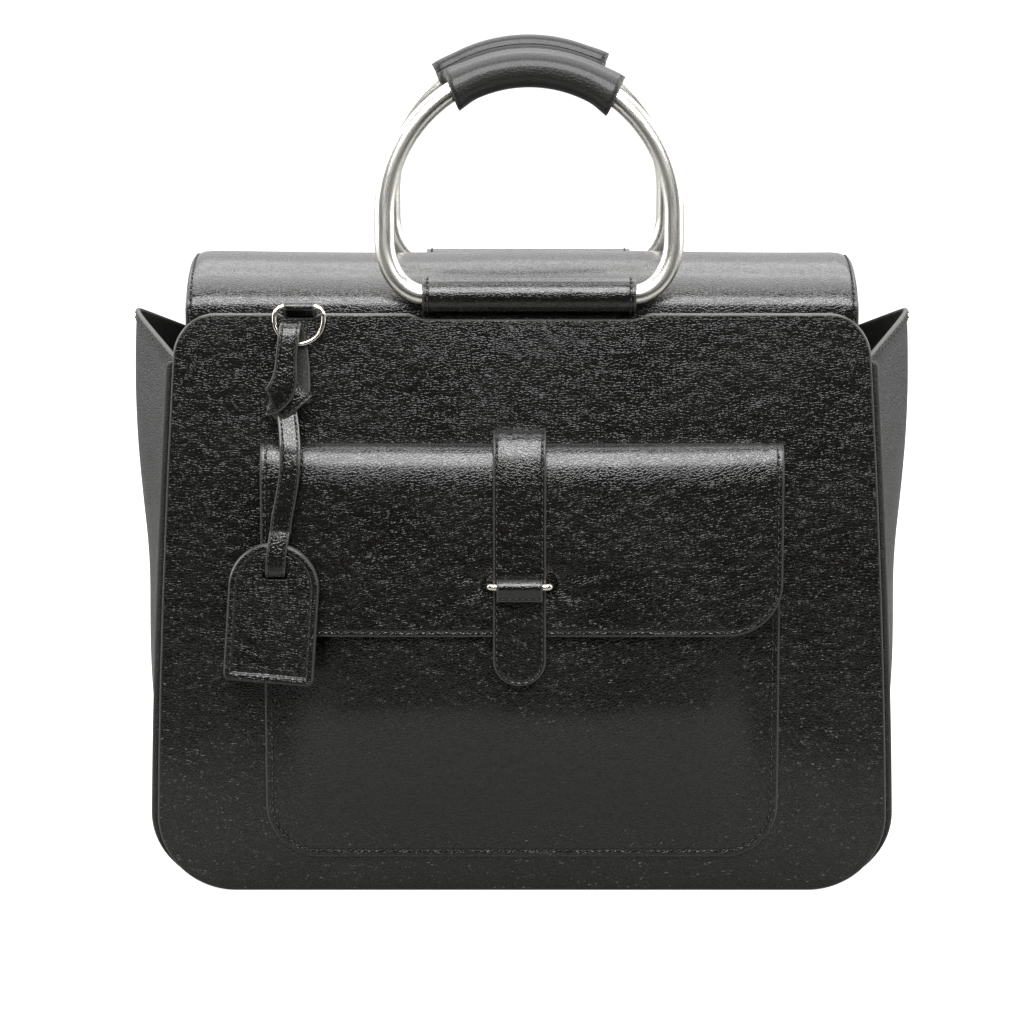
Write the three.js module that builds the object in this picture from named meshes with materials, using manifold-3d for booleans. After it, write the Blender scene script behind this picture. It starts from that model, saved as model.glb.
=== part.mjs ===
// A structured leather handbag with two metal ring handles, a front pocket and a luggage tag.
// Millimetres: +X to the right, +Y to the back, +Z up. The origin is the middle of the base.
import * as THREE from "three";
import { mergeVertices } from "three/addons/utils/BufferGeometryUtils.js";
import Module from "manifold-3d";

const wasm = await Module();
wasm.setup();

// Clearance between pieces that touch, and round a tube that turns in its leather
const gap = 0.3;
const turningGap = 0.6;

// Front and back panels
const panelHeight = 236;
const panelTopWidth = 275;
const panelBottomWidth = 296;
const panelTaperPower = 1.6;
const panelTopRadius = 17;
const panelBottomRadius = 32;
const panelThickness = 2.6;
const panelCrown = 1.6;
const depthTop = 90;
const depthBottom = 104;
const sleeveStepDepth = 2.2;
const sleeveStepRamp = 5;

// Gusset
const gussetThickness = 1.4;
const flangeOverhang = 2.6;
const flangeInset = 2.4;
const bottomSeamInset = 1.4;
const wingReach = 18.6;
const wingRise = 15;
const wingSeamDrop = 19.5;
const wingRiseStart = 0.6;
const wingTopSoftness = 0.12;
const ridgeSoftnessBottom = 0.6;
const ridgeSoftnessTop = 0.16;
const flangeStartTurn = 0.3;

// Top flap
const flapWidth = 268;
const flapThickness = 2.2;
const flapRise = 18;
const flapTuck = 48;
const flapSewnDepth = 34;
const flapStandBack = 3.8;
const flapEndDrop = 3;
const flapEndRun = 7;
const flapEndMiddle = 0.4;

// Ring handles
const tubeRadius = 4;
const ringRadius = 57.2;
const ringBarHalf = 41;
const ringCornerRise = 21.5;
const ringSideLength = 10.3;
const handleOffset = 2.8;
const handleLean = THREE.MathUtils.degToRad(7);
const handleAxisRise = 7.2;
const handleAxisInset = 1.2;

// Leather on the handles
const sleeveLength = 84.6;
const sleeveRadius = 6.8;
const sleeveTailThickness = 2.2;
const sleeveTailDepth = 16;
const gripRadius = 5.7;
const gripEndRadius = 6.6;
const frontGripShift = 2;
const backGripShift = -3.4;
const gripLength = 66;
const gripFlareStart = 0.7;
const gripFlareEnd = 0.95;

// Pocket
const pocketWidth = 207;
const pocketBottomDrop = 221;
const pocketMouthDrop = 72;
const pocketRadius = 22;
const pocketThickness = 1.8;
const pocketFullness = 7;
const pocketBorder = 6;
const pocketSideRun = 30;
const pocketBottomRun = 60;

// Pocket flap
const pocketFlapWidth = 208;
const pocketFlapTopDrop = 51;
const pocketFlapBottomDrop = 127.5;
const pocketFlapRadius = 21;
const pocketFlapThickness = 1.8;
const pocketFlapLift = 1.6;
const pocketFlapRollDepth = 17;
const pocketFlapRootDepth = 13;
const pocketFlapEase = 0.94;
const pocketFlapSideShare = 0.6;
const rollBackShare = 0.34;
const rollBackDrop = 0.5;

// Closure
const closureCentre = -1;
const strapWidth = 21.2;
const strapThickness = 1.8;
const strapTopDrop = 45.5;
const strapTipDrop = 147;
const staplePosition = 106;
const stapleWireRadius = 1.4;
const stapleBendRadius = 2.6;
const stapleWrapLength = 18.4;
const stapleWrapThickness = 1.5;
const stapleWrapTail = 2.6;
const stapleHoleWidth = 6;
const stapleHoleHeight = 9;

// D-ring and its tab
const dRingCentre = -88.2;
const dRingWireRadius = 1;
const dRingRadius = 9.75;
const dRingBarHalf = 6;
const dRingCornerRise = 4.2;
const dRingSideLength = 0.6;
const dRingTilt = THREE.MathUtils.degToRad(12);
const dRingAxisRise = 3;
const dRingStandOff = 2.8;
const tabWidth = 12;
const tabThickness = 1;
const tabTailDepth = 10;
const tabStepDepth = 1.4;
const tabStepRamp = 1.5;

// Luggage tag and its strap
const tagStrapWidth = 8.6;
const tagStrapThickness = 1.5;
const tagWidth = 36.5;
const tagHeight = 57;
const tagThickness = 2.2;
const tagRimWidth = 3.6;
const tagRimHeight = 0.7;
const tagCornerRadius = 3;
const tagInnerCornerRadius = 0.4;
const tagTurn = THREE.MathUtils.degToRad(-4);
const tagTilt = THREE.MathUtils.degToRad(-1.5);
const tagYaw = THREE.MathUtils.degToRad(-5);
const tagCentreX = -98;
const tagTopDrop = 89;
const tagStandOff = 13.4;
const tagSlotWidth = 10;
const tagSlotHeight = 3.6;
const tagSlotDrop = 13;

// Fineness of the meshes
const panelColumns = 8;
const panelUprightShare = 0.87;
const cornerSteps = 5;
const tubeSides = 12;
const loopSides = 16;
const wireSides = 8;
const pocketFlapColumns = [-1, -0.93, -0.82, -0.62, -0.3, 0, 0.3, 0.62, 0.82, 0.93, 1];

const leather = { color: 0x16150f, roughness: 0.45, metalness: 0 };
const satinMetal = { color: 0xc9c5bb, roughness: 0.3, metalness: 1 };
const paleMetal = { color: 0xd8cdb4, roughness: 0.18, metalness: 1 };

const { lerp, smoothstep } = THREE.MathUtils;
const handleAxisHeight = panelHeight + handleAxisRise;
const handleAxisDepth = depthTop / 2 - handleAxisInset;

// Numbers from first to last, evenly spaced.
function spread(first, last, steps) {
  return Array.from({ length: steps + 1 }, (_, i) => lerp(first, last, i / steps));
}

// A value read from rows of [position, value], straight between them.
function readTable(rows, position) {
  const next = rows.findIndex(([at]) => at >= position);
  if (next === 0) return rows[0][1];
  if (next < 0) return rows[rows.length - 1][1];
  const [before, low] = rows[next - 1];
  const [after, high] = rows[next];
  return lerp(low, high, (position - before) / (after - before));
}

function toSolid(geometry) {
  const bare = new THREE.BufferGeometry();
  bare.setAttribute("position", geometry.getAttribute("position"));
  bare.setIndex(geometry.index);
  const merged = mergeVertices(bare, 1e-4);
  return new wasm.Manifold(
    new wasm.Mesh({
      numProp: 3,
      vertProperties: merged.attributes.position.array,
      triVerts: new Uint32Array(merged.index.array),
    }),
  );
}

function toGeometry(solid) {
  const mesh = solid.getMesh();
  const geometry = new THREE.BufferGeometry();
  geometry.setAttribute("position", new THREE.BufferAttribute(mesh.vertProperties, 3));
  geometry.setIndex(new THREE.BufferAttribute(mesh.triVerts, 1));
  geometry.computeVertexNormals();
  return geometry;
}

// Leather sheet: its outer face is outer(u, v) over the lists us and vs, and its wall lies behind that.
// Seen from outside, u runs to the right and v runs up.
function sheet(us, vs, outer, thickness) {
  const columns = us.length;
  const rows = vs.length;
  const face = vs.map((v) => us.map((u) => outer(u, v)));
  const point = (i, j) => face[Math.min(Math.max(j, 0), rows - 1)][Math.min(Math.max(i, 0), columns - 1)];
  const back = face.map((row, j) =>
    row.map((at, i) => {
      const right = point(i + 1, j).clone().sub(point(i, j)).normalize();
      right.add(point(i, j).clone().sub(point(i - 1, j)).normalize());
      const up = point(i, j + 1).clone().sub(point(i, j)).normalize();
      up.add(point(i, j).clone().sub(point(i, j - 1)).normalize());
      return at.clone().addScaledVector(right.cross(up).normalize(), -thickness);
    }),
  );
  const front = (i, j) => j * columns + i;
  const rear = (i, j) => rows * columns + front(i, j);
  const index = [];
  const quad = (a, b, c, d) => index.push(a, b, c, a, c, d);
  for (let j = 0; j < rows - 1; j += 1) {
    for (let i = 0; i < columns - 1; i += 1) {
      quad(front(i, j), front(i + 1, j), front(i + 1, j + 1), front(i, j + 1));
      quad(rear(i, j), rear(i, j + 1), rear(i + 1, j + 1), rear(i + 1, j));
    }
    quad(front(0, j), front(0, j + 1), rear(0, j + 1), rear(0, j));
    quad(front(columns - 1, j), rear(columns - 1, j), rear(columns - 1, j + 1), front(columns - 1, j + 1));
  }
  for (let i = 0; i < columns - 1; i += 1) {
    quad(front(i, 0), rear(i, 0), rear(i + 1, 0), front(i + 1, 0));
    quad(front(i, rows - 1), front(i + 1, rows - 1), rear(i + 1, rows - 1), rear(i, rows - 1));
  }
  const geometry = new THREE.BufferGeometry();
  const points = [...face.flat(), ...back.flat()];
  geometry.setFromPoints(points);
  geometry.setIndex(index);
  geometry.computeVertexNormals();
  return geometry;
}

// Closed round wire along a closed flat outline in the XY plane.
function wireLoop(outline, radius, sides) {
  const count = outline.length;
  const points = [];
  const index = [];
  outline.forEach((at, k) => {
    const along = outline[(k + 1) % count].clone().sub(outline[(k + count - 1) % count]).normalize();
    for (let s = 0; s < sides; s += 1) {
      const turn = (2 * Math.PI * s) / sides;
      const out = radius * Math.cos(turn);
      points.push(new THREE.Vector3(at.x + out * along.y, at.y - out * along.x, radius * Math.sin(turn)));
      const next = ((k + 1) % count) * sides;
      const side = (s + 1) % sides;
      index.push(k * sides + s, next + s, next + side, k * sides + s, next + side, k * sides + side);
    }
  });
  const geometry = new THREE.BufferGeometry().setFromPoints(points);
  geometry.setIndex(index);
  geometry.computeVertexNormals();
  return geometry;
}

// D outline about the middle of its straight bar: elliptical corners, short sides and a half circle.
function dOutline({ barHalf, radius, cornerRise, sideLength }) {
  const right = [new THREE.Vector2(barHalf, 0)];
  for (const turn of spread(0, Math.PI / 2, 6).slice(1)) {
    right.push(
      new THREE.Vector2(
        barHalf + (radius - barHalf) * Math.sin(turn),
        cornerRise * (1 - Math.cos(turn)),
      ),
    );
  }
  for (const turn of spread(0, Math.PI / 2, 9).slice(0, -1)) {
    const rise = cornerRise + sideLength;
    right.push(new THREE.Vector2(radius * Math.cos(turn), rise + radius * Math.sin(turn)));
  }
  const left = right.map((at) => new THREE.Vector2(-at.x, at.y)).reverse();
  return [...right, new THREE.Vector2(0, cornerRise + sideLength + radius), ...left];
}

// A flat shape drawn in the YZ plane and carried along X, from its middle.
function alongX(shape, length, curveSegments) {
  const geometry = new THREE.ExtrudeGeometry(shape, { depth: length, bevelEnabled: false, curveSegments });
  geometry.translate(0, 0, -length / 2);
  const axes = [new THREE.Vector3(0, 1, 0), new THREE.Vector3(0, 0, 1), new THREE.Vector3(1, 0, 0)];
  return geometry.applyMatrix4(new THREE.Matrix4().makeBasis(...axes));
}

function disc(y, z, radius) {
  const shape = new THREE.Shape();
  shape.absarc(y, z, radius, 0, 2 * Math.PI);
  return shape;
}

function block(width, depth, height, x, y, z) {
  return new THREE.BoxGeometry(width, depth, height).translate(x, y, z);
}

function piece(name, geometry, finish) {
  const mesh = new THREE.Mesh(geometry, new THREE.MeshStandardMaterial(finish));
  mesh.name = name;
  return mesh;
}

// Half the bag's depth at a height, to the panels' outer faces.
function halfDepth(z) {
  return lerp(depthBottom, depthTop, z / panelHeight) / 2;
}

// Half the panel's width at a height, before its corners are rounded.
function panelSide(z) {
  const taper = (panelBottomWidth - panelTopWidth) / 2;
  return panelBottomWidth / 2 - taper * Math.max(z / panelHeight, 0) ** panelTaperPower;
}

// The front panel's outer face, which swells a little in its middle.
function frontFace(x, z) {
  const across = Math.min(Math.abs(x) / panelSide(z), 1);
  const swell = Math.cos((across * Math.PI) / 2) * Math.sin((Math.PI * z) / panelHeight);
  return -(halfDepth(z) + panelCrown * swell);
}

// Rows of [height, half-width] from a bottom edge with round corners up to a height.
function roundedRows(bottom, top, radius, side, steps) {
  const rows = spread(0, Math.PI / 2, cornerSteps).map((turn) => {
    const z = bottom + radius * (1 - Math.cos(turn));
    return [z, side(z) - radius * (1 - Math.sin(turn))];
  });
  for (const z of spread(bottom + radius, top, steps).slice(1)) rows.push([z, side(z)]);
  return rows;
}

// How much lower the panel's top edge is cut, under the handle sleeve and under the D-ring's tab.
const sleeveHalf = sleeveLength / 2;
const sleeveStep = { centre: handleOffset, half: sleeveHalf, ramp: sleeveStepRamp, depth: sleeveStepDepth };
const tabStep = { centre: dRingCentre, half: tabWidth / 2 + gap, ramp: tabStepRamp, depth: tabStepDepth };
function stepDrop(x, steps) {
  return Math.max(
    ...steps.map(({ centre, half, ramp, depth }) => {
      const beyond = Math.abs(x - centre) - half;
      return depth * (1 - Math.min(Math.max(beyond / ramp, 0), 1));
    }),
  );
}

function panelSheet(steps, facing) {
  const topCornerBase = panelHeight - panelTopRadius;
  const rows = roundedRows(gap, topCornerBase, panelBottomRadius, panelSide, 5);
  for (const turn of spread(0, Math.PI / 2, cornerSteps).slice(1)) {
    const z = topCornerBase + panelTopRadius * Math.sin(turn);
    rows.push([z, panelSide(z) - panelTopRadius * (1 - Math.cos(turn))]);
  }
  const topHalf = panelSide(panelHeight) - panelTopRadius;
  const upright = panelUprightShare * topHalf;
  const columns = [-topHalf, ...spread(-upright, upright, panelColumns), topHalf];
  for (const { centre, half, ramp } of steps) {
    for (const edge of [-half - ramp, -half, half, half + ramp]) columns.push(centre + edge);
  }
  columns.sort((a, b) => a - b);
  return sheet(
    columns,
    rows.keys().toArray(),
    (column, row) => {
      const [z, half] = rows[row];
      const beyond = (Math.abs(column) - upright) / (topHalf - upright);
      const x = beyond > 0 ? Math.sign(column) * lerp(upright, half, beyond) : column;
      const drop = stepDrop(x, steps) * Math.max((z - topCornerBase) / panelTopRadius, 0);
      return new THREE.Vector3(facing * x, facing * frontFace(x, z), z - drop);
    },
    panelThickness,
  );
}

// How far the gusset's middle ridge stands out, as a share of wingReach, by the share of the seam's height.
const wingProfile = [
  [0, 0],
  [0.15, 0.12],
  [0.3, 0.3],
  [0.43, 0.41],
  [0.6, 0.54],
  [0.71, 0.69],
  [0.83, 0.87],
  [0.93, 0.98],
  [1, 1],
];
const gussetDepthShares = [1, 0.92, 0.76, 0.52, 0.24, 0];

// The ridge's roundness across the depth: 0 at the seams and 1 at the middle.
function ridge(share, softness) {
  const bow = (s) => Math.sqrt(s * s + softness * softness) - softness;
  return 1 - bow(share) / bow(1);
}

function gussetSheet() {
  const seamTop = panelHeight - wingSeamDrop;
  const corner = panelBottomRadius;
  const stations = [{ x: 0, z: 0, turn: 0, rise: 0 }];
  for (const turn of spread(0, Math.PI / 2, cornerSteps + 1)) {
    const z = corner * (1 - Math.cos(turn));
    stations.push({ x: panelSide(z) - corner * (1 - Math.sin(turn)), z, turn, rise: 0 });
  }
  for (const share of spread(0, 1, 11).slice(1)) {
    const z = lerp(corner, seamTop, share);
    stations.push({ x: panelSide(z), z, turn: Math.PI / 2, rise: smoothstep(share, wingRiseStart, 1) });
  }
  const depthShares = [...gussetDepthShares, ...gussetDepthShares.slice(0, -1).map((s) => -s).reverse()];
  const points = ["flange", ...depthShares, "flange back"];
  const run = [...stations.map((_, k) => k).reverse(), ...stations.map((_, k) => -k).slice(1)];
  return sheet(
    run,
    points.map((_, k) => k),
    (u, v) => {
      const { x, z, turn, rise } = stations[Math.abs(u)];
      const side = Math.sin(turn);
      const upright = smoothstep(turn, flangeStartTurn, Math.PI / 2);
      const share = typeof points[v] === "number" ? points[v] : Math.sign(points.length / 2 - v);
      const inset = lerp(bottomSeamInset, flangeInset, upright);
      const reach = wingReach * readTable(wingProfile, z / seamTop);
      const softness = lerp(ridgeSoftnessBottom, ridgeSoftnessTop, smoothstep(z, 0, seamTop));
      const round = ridge(Math.abs(share), softness);
      const flat = Math.min((1 - Math.abs(share)) / (1 - gussetDepthShares[1]), 1);
      const bow = lerp(flat, round, upright);
      const isFlange = typeof points[v] !== "number";
      const out = isFlange ? flangeOverhang * upright : lerp(-inset, reach, bow);
      const height = z + wingRise * rise * ridge(Math.abs(share), wingTopSoftness);
      const depth = halfDepth(z) - panelThickness - gap - gussetThickness;
      const mirror = u < 0 ? -1 : 1;
      return new THREE.Vector3(mirror * (x + out * side), -share * depth, height - out * Math.cos(turn));
    },
    gussetThickness,
  );
}

function topFlapSheet() {
  const front = -(depthTop / 2 - panelThickness - flapStandBack);
  const back = -front;
  const profile = [[front, panelHeight - flapTuck]];
  for (const turn of spread(0, Math.PI / 2, 8)) {
    profile.push([front * Math.cos(turn), panelHeight + flapRise * Math.sin(turn)]);
  }
  for (const turn of spread(0, Math.PI / 2, 6).slice(1)) {
    profile.push([back * Math.sin(turn), panelHeight + flapRise * Math.cos(turn)]);
  }
  profile.push([back, panelHeight - flapSewnDepth]);
  const half = flapWidth / 2;
  const columns = [-half, flapEndRun * flapEndMiddle - half, flapEndRun - half, -half / 3];
  const across = [...columns, ...columns.map((x) => -x).reverse()];
  return sheet(
    across,
    profile.map((_, k) => k),
    (x, k) => {
      const [y, z] = profile[k];
      const share = Math.max((Math.abs(x) - half + flapEndRun) / flapEndRun, 0);
      const bend = Math.max(z - panelHeight, 0) / flapRise;
      return new THREE.Vector3(x, y, z - flapEndDrop * bend * share * share);
    },
    flapThickness,
  );
}

function handleRing() {
  const outline = dOutline({
    barHalf: ringBarHalf,
    radius: ringRadius,
    cornerRise: ringCornerRise,
    sideLength: ringSideLength,
  });
  return wireLoop(outline, tubeRadius, tubeSides);
}

// Leather wrap over the top of the ring, a little thicker at its ends.
function handleGrip(shift) {
  const centre = new THREE.Vector3(0, ringCornerRise + ringSideLength, 0);
  const middle = Math.PI / 2 - shift / ringRadius;
  const swing = gripLength / 2 / ringRadius;
  const arc = new THREE.ArcCurve(0, centre.y, ringRadius, middle - swing, middle + swing, false);
  const path = new THREE.CatmullRomCurve3(arc.getPoints(10).map((at) => new THREE.Vector3(at.x, at.y, 0)));
  const section = disc(0, 0, gripRadius);
  section.holes.push(new THREE.Path(disc(0, 0, tubeRadius + gap).getPoints(tubeSides / 2)));
  const geometry = new THREE.ExtrudeGeometry(section, {
    steps: 10,
    extrudePath: path,
    curveSegments: tubeSides / 2,
  });
  const spots = geometry.getAttribute("position");
  const at = new THREE.Vector3();
  for (let k = 0; k < spots.count; k += 1) {
    at.fromBufferAttribute(spots, k);
    const turn = Math.atan2(at.y - centre.y, at.x);
    const line = new THREE.Vector3(Math.cos(turn), Math.sin(turn), 0).multiplyScalar(ringRadius).add(centre);
    const outside = at.distanceTo(line) > (gripRadius + tubeRadius) / 2;
    const nearEnd = smoothstep(Math.abs(turn - middle) / swing, gripFlareStart, gripFlareEnd);
    if (!outside) continue;
    at.sub(line).multiplyScalar(lerp(1, gripEndRadius / gripRadius, nearEnd)).add(line);
    spots.setXYZ(k, at.x, at.y, at.z);
  }
  geometry.computeVertexNormals();
  return geometry;
}

// Leather loop round the handle's bar, its tail going down behind the panel.
function handleSleeve() {
  const tailFace = handleAxisInset - panelThickness - gap;
  const tailTop = -sleeveRadius / 2;
  const tailHeight = sleeveTailDepth + handleAxisRise + tailTop;
  const tail = block(
    sleeveLength,
    sleeveTailThickness,
    tailHeight,
    0,
    sleeveTailThickness / 2 - tailFace,
    tailTop - tailHeight / 2,
  );
  const loop = toSolid(alongX(disc(0, 0, sleeveRadius), sleeveLength, loopSides / 2));
  const bore = toSolid(alongX(disc(0, 0, tubeRadius + turningGap), sleeveLength + 2, loopSides / 2));
  return toGeometry(loop.add(toSolid(tail)).subtract(bore));
}

// A ring and its grip on the bar's axis. Facing is 1 at the front and -1 at the back.
function handle(prefix, facing, gripShift) {
  const group = new THREE.Group();
  group.add(piece(`${prefix}_handle_ring`, handleRing(), satinMetal));
  group.add(piece(`${prefix}_handle_grip`, handleGrip(gripShift), leather));
  group.position.set(handleOffset, -facing * handleAxisDepth, handleAxisHeight);
  group.rotation.x = Math.PI / 2 - facing * handleLean;
  return group;
}

function sleeveMesh(prefix, facing) {
  const mesh = piece(`${prefix}_handle_sleeve`, handleSleeve(), leather);
  mesh.position.set(handleOffset, -facing * handleAxisDepth, handleAxisHeight);
  mesh.rotation.z = facing > 0 ? 0 : Math.PI;
  return mesh;
}

// How full the pocket stands, from 0 at its sewn border to 1.
function pocketSwell(x, z, sideRun) {
  const bottom = panelHeight - pocketBottomDrop;
  const side = pocketWidth / 2 - pocketBorder - Math.abs(x);
  return smoothstep(side, 0, sideRun) * smoothstep(z - bottom - pocketBorder, 0, pocketBottomRun);
}

function pocketFront(x, z) {
  return pocketThickness + gap + pocketFullness * pocketSwell(x, z, pocketSideRun);
}

// The pocket flap's outer face stands this far from the panel below its roll.
function flapFront(x, z) {
  const swell = pocketSwell(x * pocketFlapEase, z, pocketSideRun * pocketFlapSideShare);
  const under = pocketThickness + gap + pocketFullness * swell;
  return under + gap + pocketFlapThickness + pocketFlapLift;
}

function onPanel(x, z, standOff) {
  return new THREE.Vector3(x, frontFace(x, z) - standOff, z);
}

function pocketSheet() {
  const rows = roundedRows(
    panelHeight - pocketBottomDrop,
    panelHeight - pocketMouthDrop,
    pocketRadius,
    () => pocketWidth / 2,
    7,
  );
  const inner = 1 - (2 * pocketBorder) / pocketWidth;
  const full = 1 - (2 * (pocketBorder + pocketSideRun)) / pocketWidth;
  const columns = [-1, -inner, -(inner + full) / 2, -full, -full / 2];
  return sheet(
    [...columns, 0, ...columns.map((u) => -u).reverse()],
    rows.map((_, k) => k),
    (u, row) => {
      const [z, half] = rows[row];
      return onPanel(u * half, z, pocketFront(u * half, z));
    },
    pocketThickness,
  );
}

// A point on a leather roll that hangs from the panel. The turn is 0 at the roll's front edge, a
// quarter turn on its crest and a half turn where it meets the panel behind.
function rolledPoint(x, top, turn, reach, rollDepth, rootFace) {
  const front = reach(x, top - rollDepth);
  const middle = lerp(rootFace, front, rollBackShare);
  const forward = turn < Math.PI / 2;
  const standOff = forward
    ? lerp(middle, front, Math.cos(turn))
    : lerp(middle, rootFace, -Math.cos(turn));
  const drop = forward ? rollDepth : rollDepth * rollBackDrop;
  return onPanel(x, top - drop * (1 - Math.sin(turn)), standOff);
}

function pocketFlapSheet() {
  const top = panelHeight - pocketFlapTopDrop;
  const bottom = panelHeight - pocketFlapBottomDrop;
  const half = pocketFlapWidth / 2;
  const rows = roundedRows(bottom, top - pocketFlapRollDepth, pocketFlapRadius, () => half, 3);
  const below = rows.map(([z, width]) => ({ z, width, turn: 0 }));
  const roll = spread(0, Math.PI, 9).slice(1).map((turn) => ({ turn, width: half }));
  const root = [{ z: top - pocketFlapRootDepth, width: half, turn: Math.PI }];
  const profile = [...below, ...roll, ...root];
  return sheet(
    pocketFlapColumns,
    profile.map((_, k) => k),
    (u, k) => {
      const { z, width, turn } = profile[k];
      const x = u * width;
      if (turn === Math.PI && z !== undefined) return onPanel(x, z, gap);
      if (z !== undefined) return onPanel(x, z, flapFront(x, z));
      return rolledPoint(x, top, turn, flapFront, pocketFlapRollDepth, gap);
    },
    pocketFlapThickness,
  );
}

// A cutter for one of the staple's holes, from inside the bag to well past the flap's face.
function ovalHole(x, z) {
  const shape = new THREE.Shape();
  shape.absellipse(0, 0, stapleHoleWidth / 2, stapleHoleHeight / 2, 0, 2 * Math.PI);
  const cut = { depth: depthBottom, bevelEnabled: false, curveSegments: 6 };
  const geometry = new THREE.ExtrudeGeometry(shape, cut);
  return toSolid(geometry.rotateX(Math.PI / 2).translate(x, 0, z));
}

const stapleHeight = panelHeight - staplePosition;
const stapleHalf = strapWidth / 2 + gap + stapleWireRadius;

function pocketFlapGeometry() {
  const holes = [-1, 1].map((side) => ovalHole(closureCentre + side * stapleHalf, stapleHeight));
  return toGeometry(toSolid(pocketFlapSheet()).subtract(holes[0]).subtract(holes[1]));
}

function strapFront(x, z) {
  return flapFront(x, Math.max(z, panelHeight - pocketFlapBottomDrop)) + gap + strapThickness;
}

function pocketStrapSheet() {
  const top = panelHeight - strapTopDrop;
  const tip = panelHeight - strapTipDrop;
  const half = strapWidth / 2;
  const rows = spread(0.2, Math.PI / 2, cornerSteps).map((turn) => ({
    z: tip + half * (1 - Math.cos(turn)),
    width: half * Math.sin(turn),
  }));
  const rollDepth = pocketFlapRollDepth + pocketFlapTopDrop - strapTopDrop;
  for (const z of spread(tip + half, top - rollDepth, 7).slice(1)) rows.push({ z, width: half });
  for (const turn of spread(0, Math.PI / 2, 7).slice(1)) rows.push({ turn, width: half });
  rows.push({ root: true, width: half });
  return sheet(
    [-1, -0.5, 0, 0.5, 1],
    rows.map((_, k) => k),
    (u, k) => {
      const { z, turn, width, root } = rows[k];
      const x = closureCentre + u * width;
      if (root) return onPanel(x, top, gap);
      if (z !== undefined) return onPanel(x, z, strapFront(x, z));
      return rolledPoint(x, top, turn, strapFront, rollDepth, gap);
    },
    strapThickness,
  );
}

const wrapRadius = stapleWireRadius + gap + stapleWrapThickness;
const staplePlace = onPanel(
  closureCentre,
  stapleHeight,
  strapFront(closureCentre, stapleHeight) + gap + wrapRadius,
);

// Staple: a bar with round bends and two legs that reach back through the flap to the pocket.
function stapleGeometry() {
  const pocketAt = onPanel(closureCentre, stapleHeight, pocketFront(closureCentre, stapleHeight));
  const legLength = pocketAt.y - gap - staplePlace.y;
  const bend = stapleBendRadius;
  const path = new THREE.CurvePath();
  const at = (x, y) => new THREE.Vector3(x, y, 0);
  path.add(new THREE.LineCurve3(at(-stapleHalf, legLength), at(-stapleHalf, bend)));
  const flat = stapleHalf - bend;
  path.add(new THREE.QuadraticBezierCurve3(at(-stapleHalf, bend), at(-stapleHalf, 0), at(-flat, 0)));
  path.add(new THREE.LineCurve3(at(-flat, 0), at(flat, 0)));
  path.add(new THREE.QuadraticBezierCurve3(at(flat, 0), at(stapleHalf, 0), at(stapleHalf, bend)));
  path.add(new THREE.LineCurve3(at(stapleHalf, bend), at(stapleHalf, legLength)));
  const section = disc(0, 0, stapleWireRadius);
  return new THREE.ExtrudeGeometry(section, { steps: 24, extrudePath: path, curveSegments: 5 });
}

// Leather rolled round the staple's bar, its ends sewn together below it.
function stapleWrapGeometry() {
  const tailHeight = wrapRadius + stapleWrapTail;
  const tail = block(stapleWrapLength, 2 * stapleWrapThickness, tailHeight, 0, 0, -tailHeight / 2);
  const loop = toSolid(alongX(disc(0, 0, wrapRadius), stapleWrapLength, 6));
  const bore = toSolid(alongX(disc(0, 0, stapleWireRadius + gap), stapleWrapLength + 2, 6));
  return toGeometry(loop.add(toSolid(tail)).subtract(bore));
}

const dRingAxis = new THREE.Vector3(
  dRingCentre,
  frontFace(dRingCentre, panelHeight) - dRingStandOff,
  panelHeight + dRingAxisRise,
);

function dRingMesh() {
  const outline = dOutline({
    barHalf: dRingBarHalf,
    radius: dRingRadius,
    cornerRise: dRingCornerRise,
    sideLength: dRingSideLength,
  });
  const mesh = piece("d_ring", wireLoop(outline, dRingWireRadius, wireSides), paleMetal);
  mesh.position.copy(dRingAxis);
  mesh.rotation.x = -Math.PI / 2 - dRingTilt;
  return mesh;
}

// Leather tab: a loop round the D-ring's bar, a bridge over the panel's edge and a tail inside.
function dRingTabMesh() {
  const loopRadius = dRingWireRadius + gap / 2 + tabThickness;
  const plies = 2 * tabThickness;
  const overEdge = dRingStandOff + panelThickness + gap + plies;
  const bridgeBottom = gap - tabStepDepth - dRingAxisRise + gap;
  const bridgeTop = -dRingWireRadius - gap;
  const bridgeHeight = bridgeTop - bridgeBottom;
  const bridge = block(tabWidth, overEdge, bridgeHeight, 0, overEdge / 2, bridgeTop - bridgeHeight / 2);
  const tailY = dRingStandOff + panelThickness + gap + plies / 2;
  const tail = block(tabWidth, plies, tabTailDepth, 0, tailY, bridgeTop - tabTailDepth / 2);
  const loop = toSolid(alongX(disc(0, 0, loopRadius), tabWidth, 6));
  const bore = toSolid(alongX(disc(0, 0, dRingWireRadius + gap / 2), tabWidth + 2, 6));
  const solid = loop.add(toSolid(bridge)).add(toSolid(tail)).subtract(bore);
  const mesh = piece("d_ring_tab", toGeometry(solid), leather);
  mesh.position.copy(dRingAxis);
  return mesh;
}

// The strap's loop through the D-ring, from the middle of the wire at the ring's foot.
const strapLoopRows = [
  { aside: -6.4, below: 21, ahead: 4.4 },
  { aside: -5.4, below: 11.5, ahead: 3.8 },
  { aside: -4.2, below: 2.6, ahead: 3.4 },
  { aside: -3.7, below: -3.4, ahead: 3 },
  { aside: -3.5, below: -6.9, ahead: 0.2 },
  { aside: -3, below: -4.6, ahead: -2.9 },
  { aside: -1.8, below: 1.6, ahead: -2.9 },
  { aside: -0.4, below: 11.6, ahead: -1.6 },
  { aside: -0.2, below: 20.6, ahead: 1.6 },
];
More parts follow.
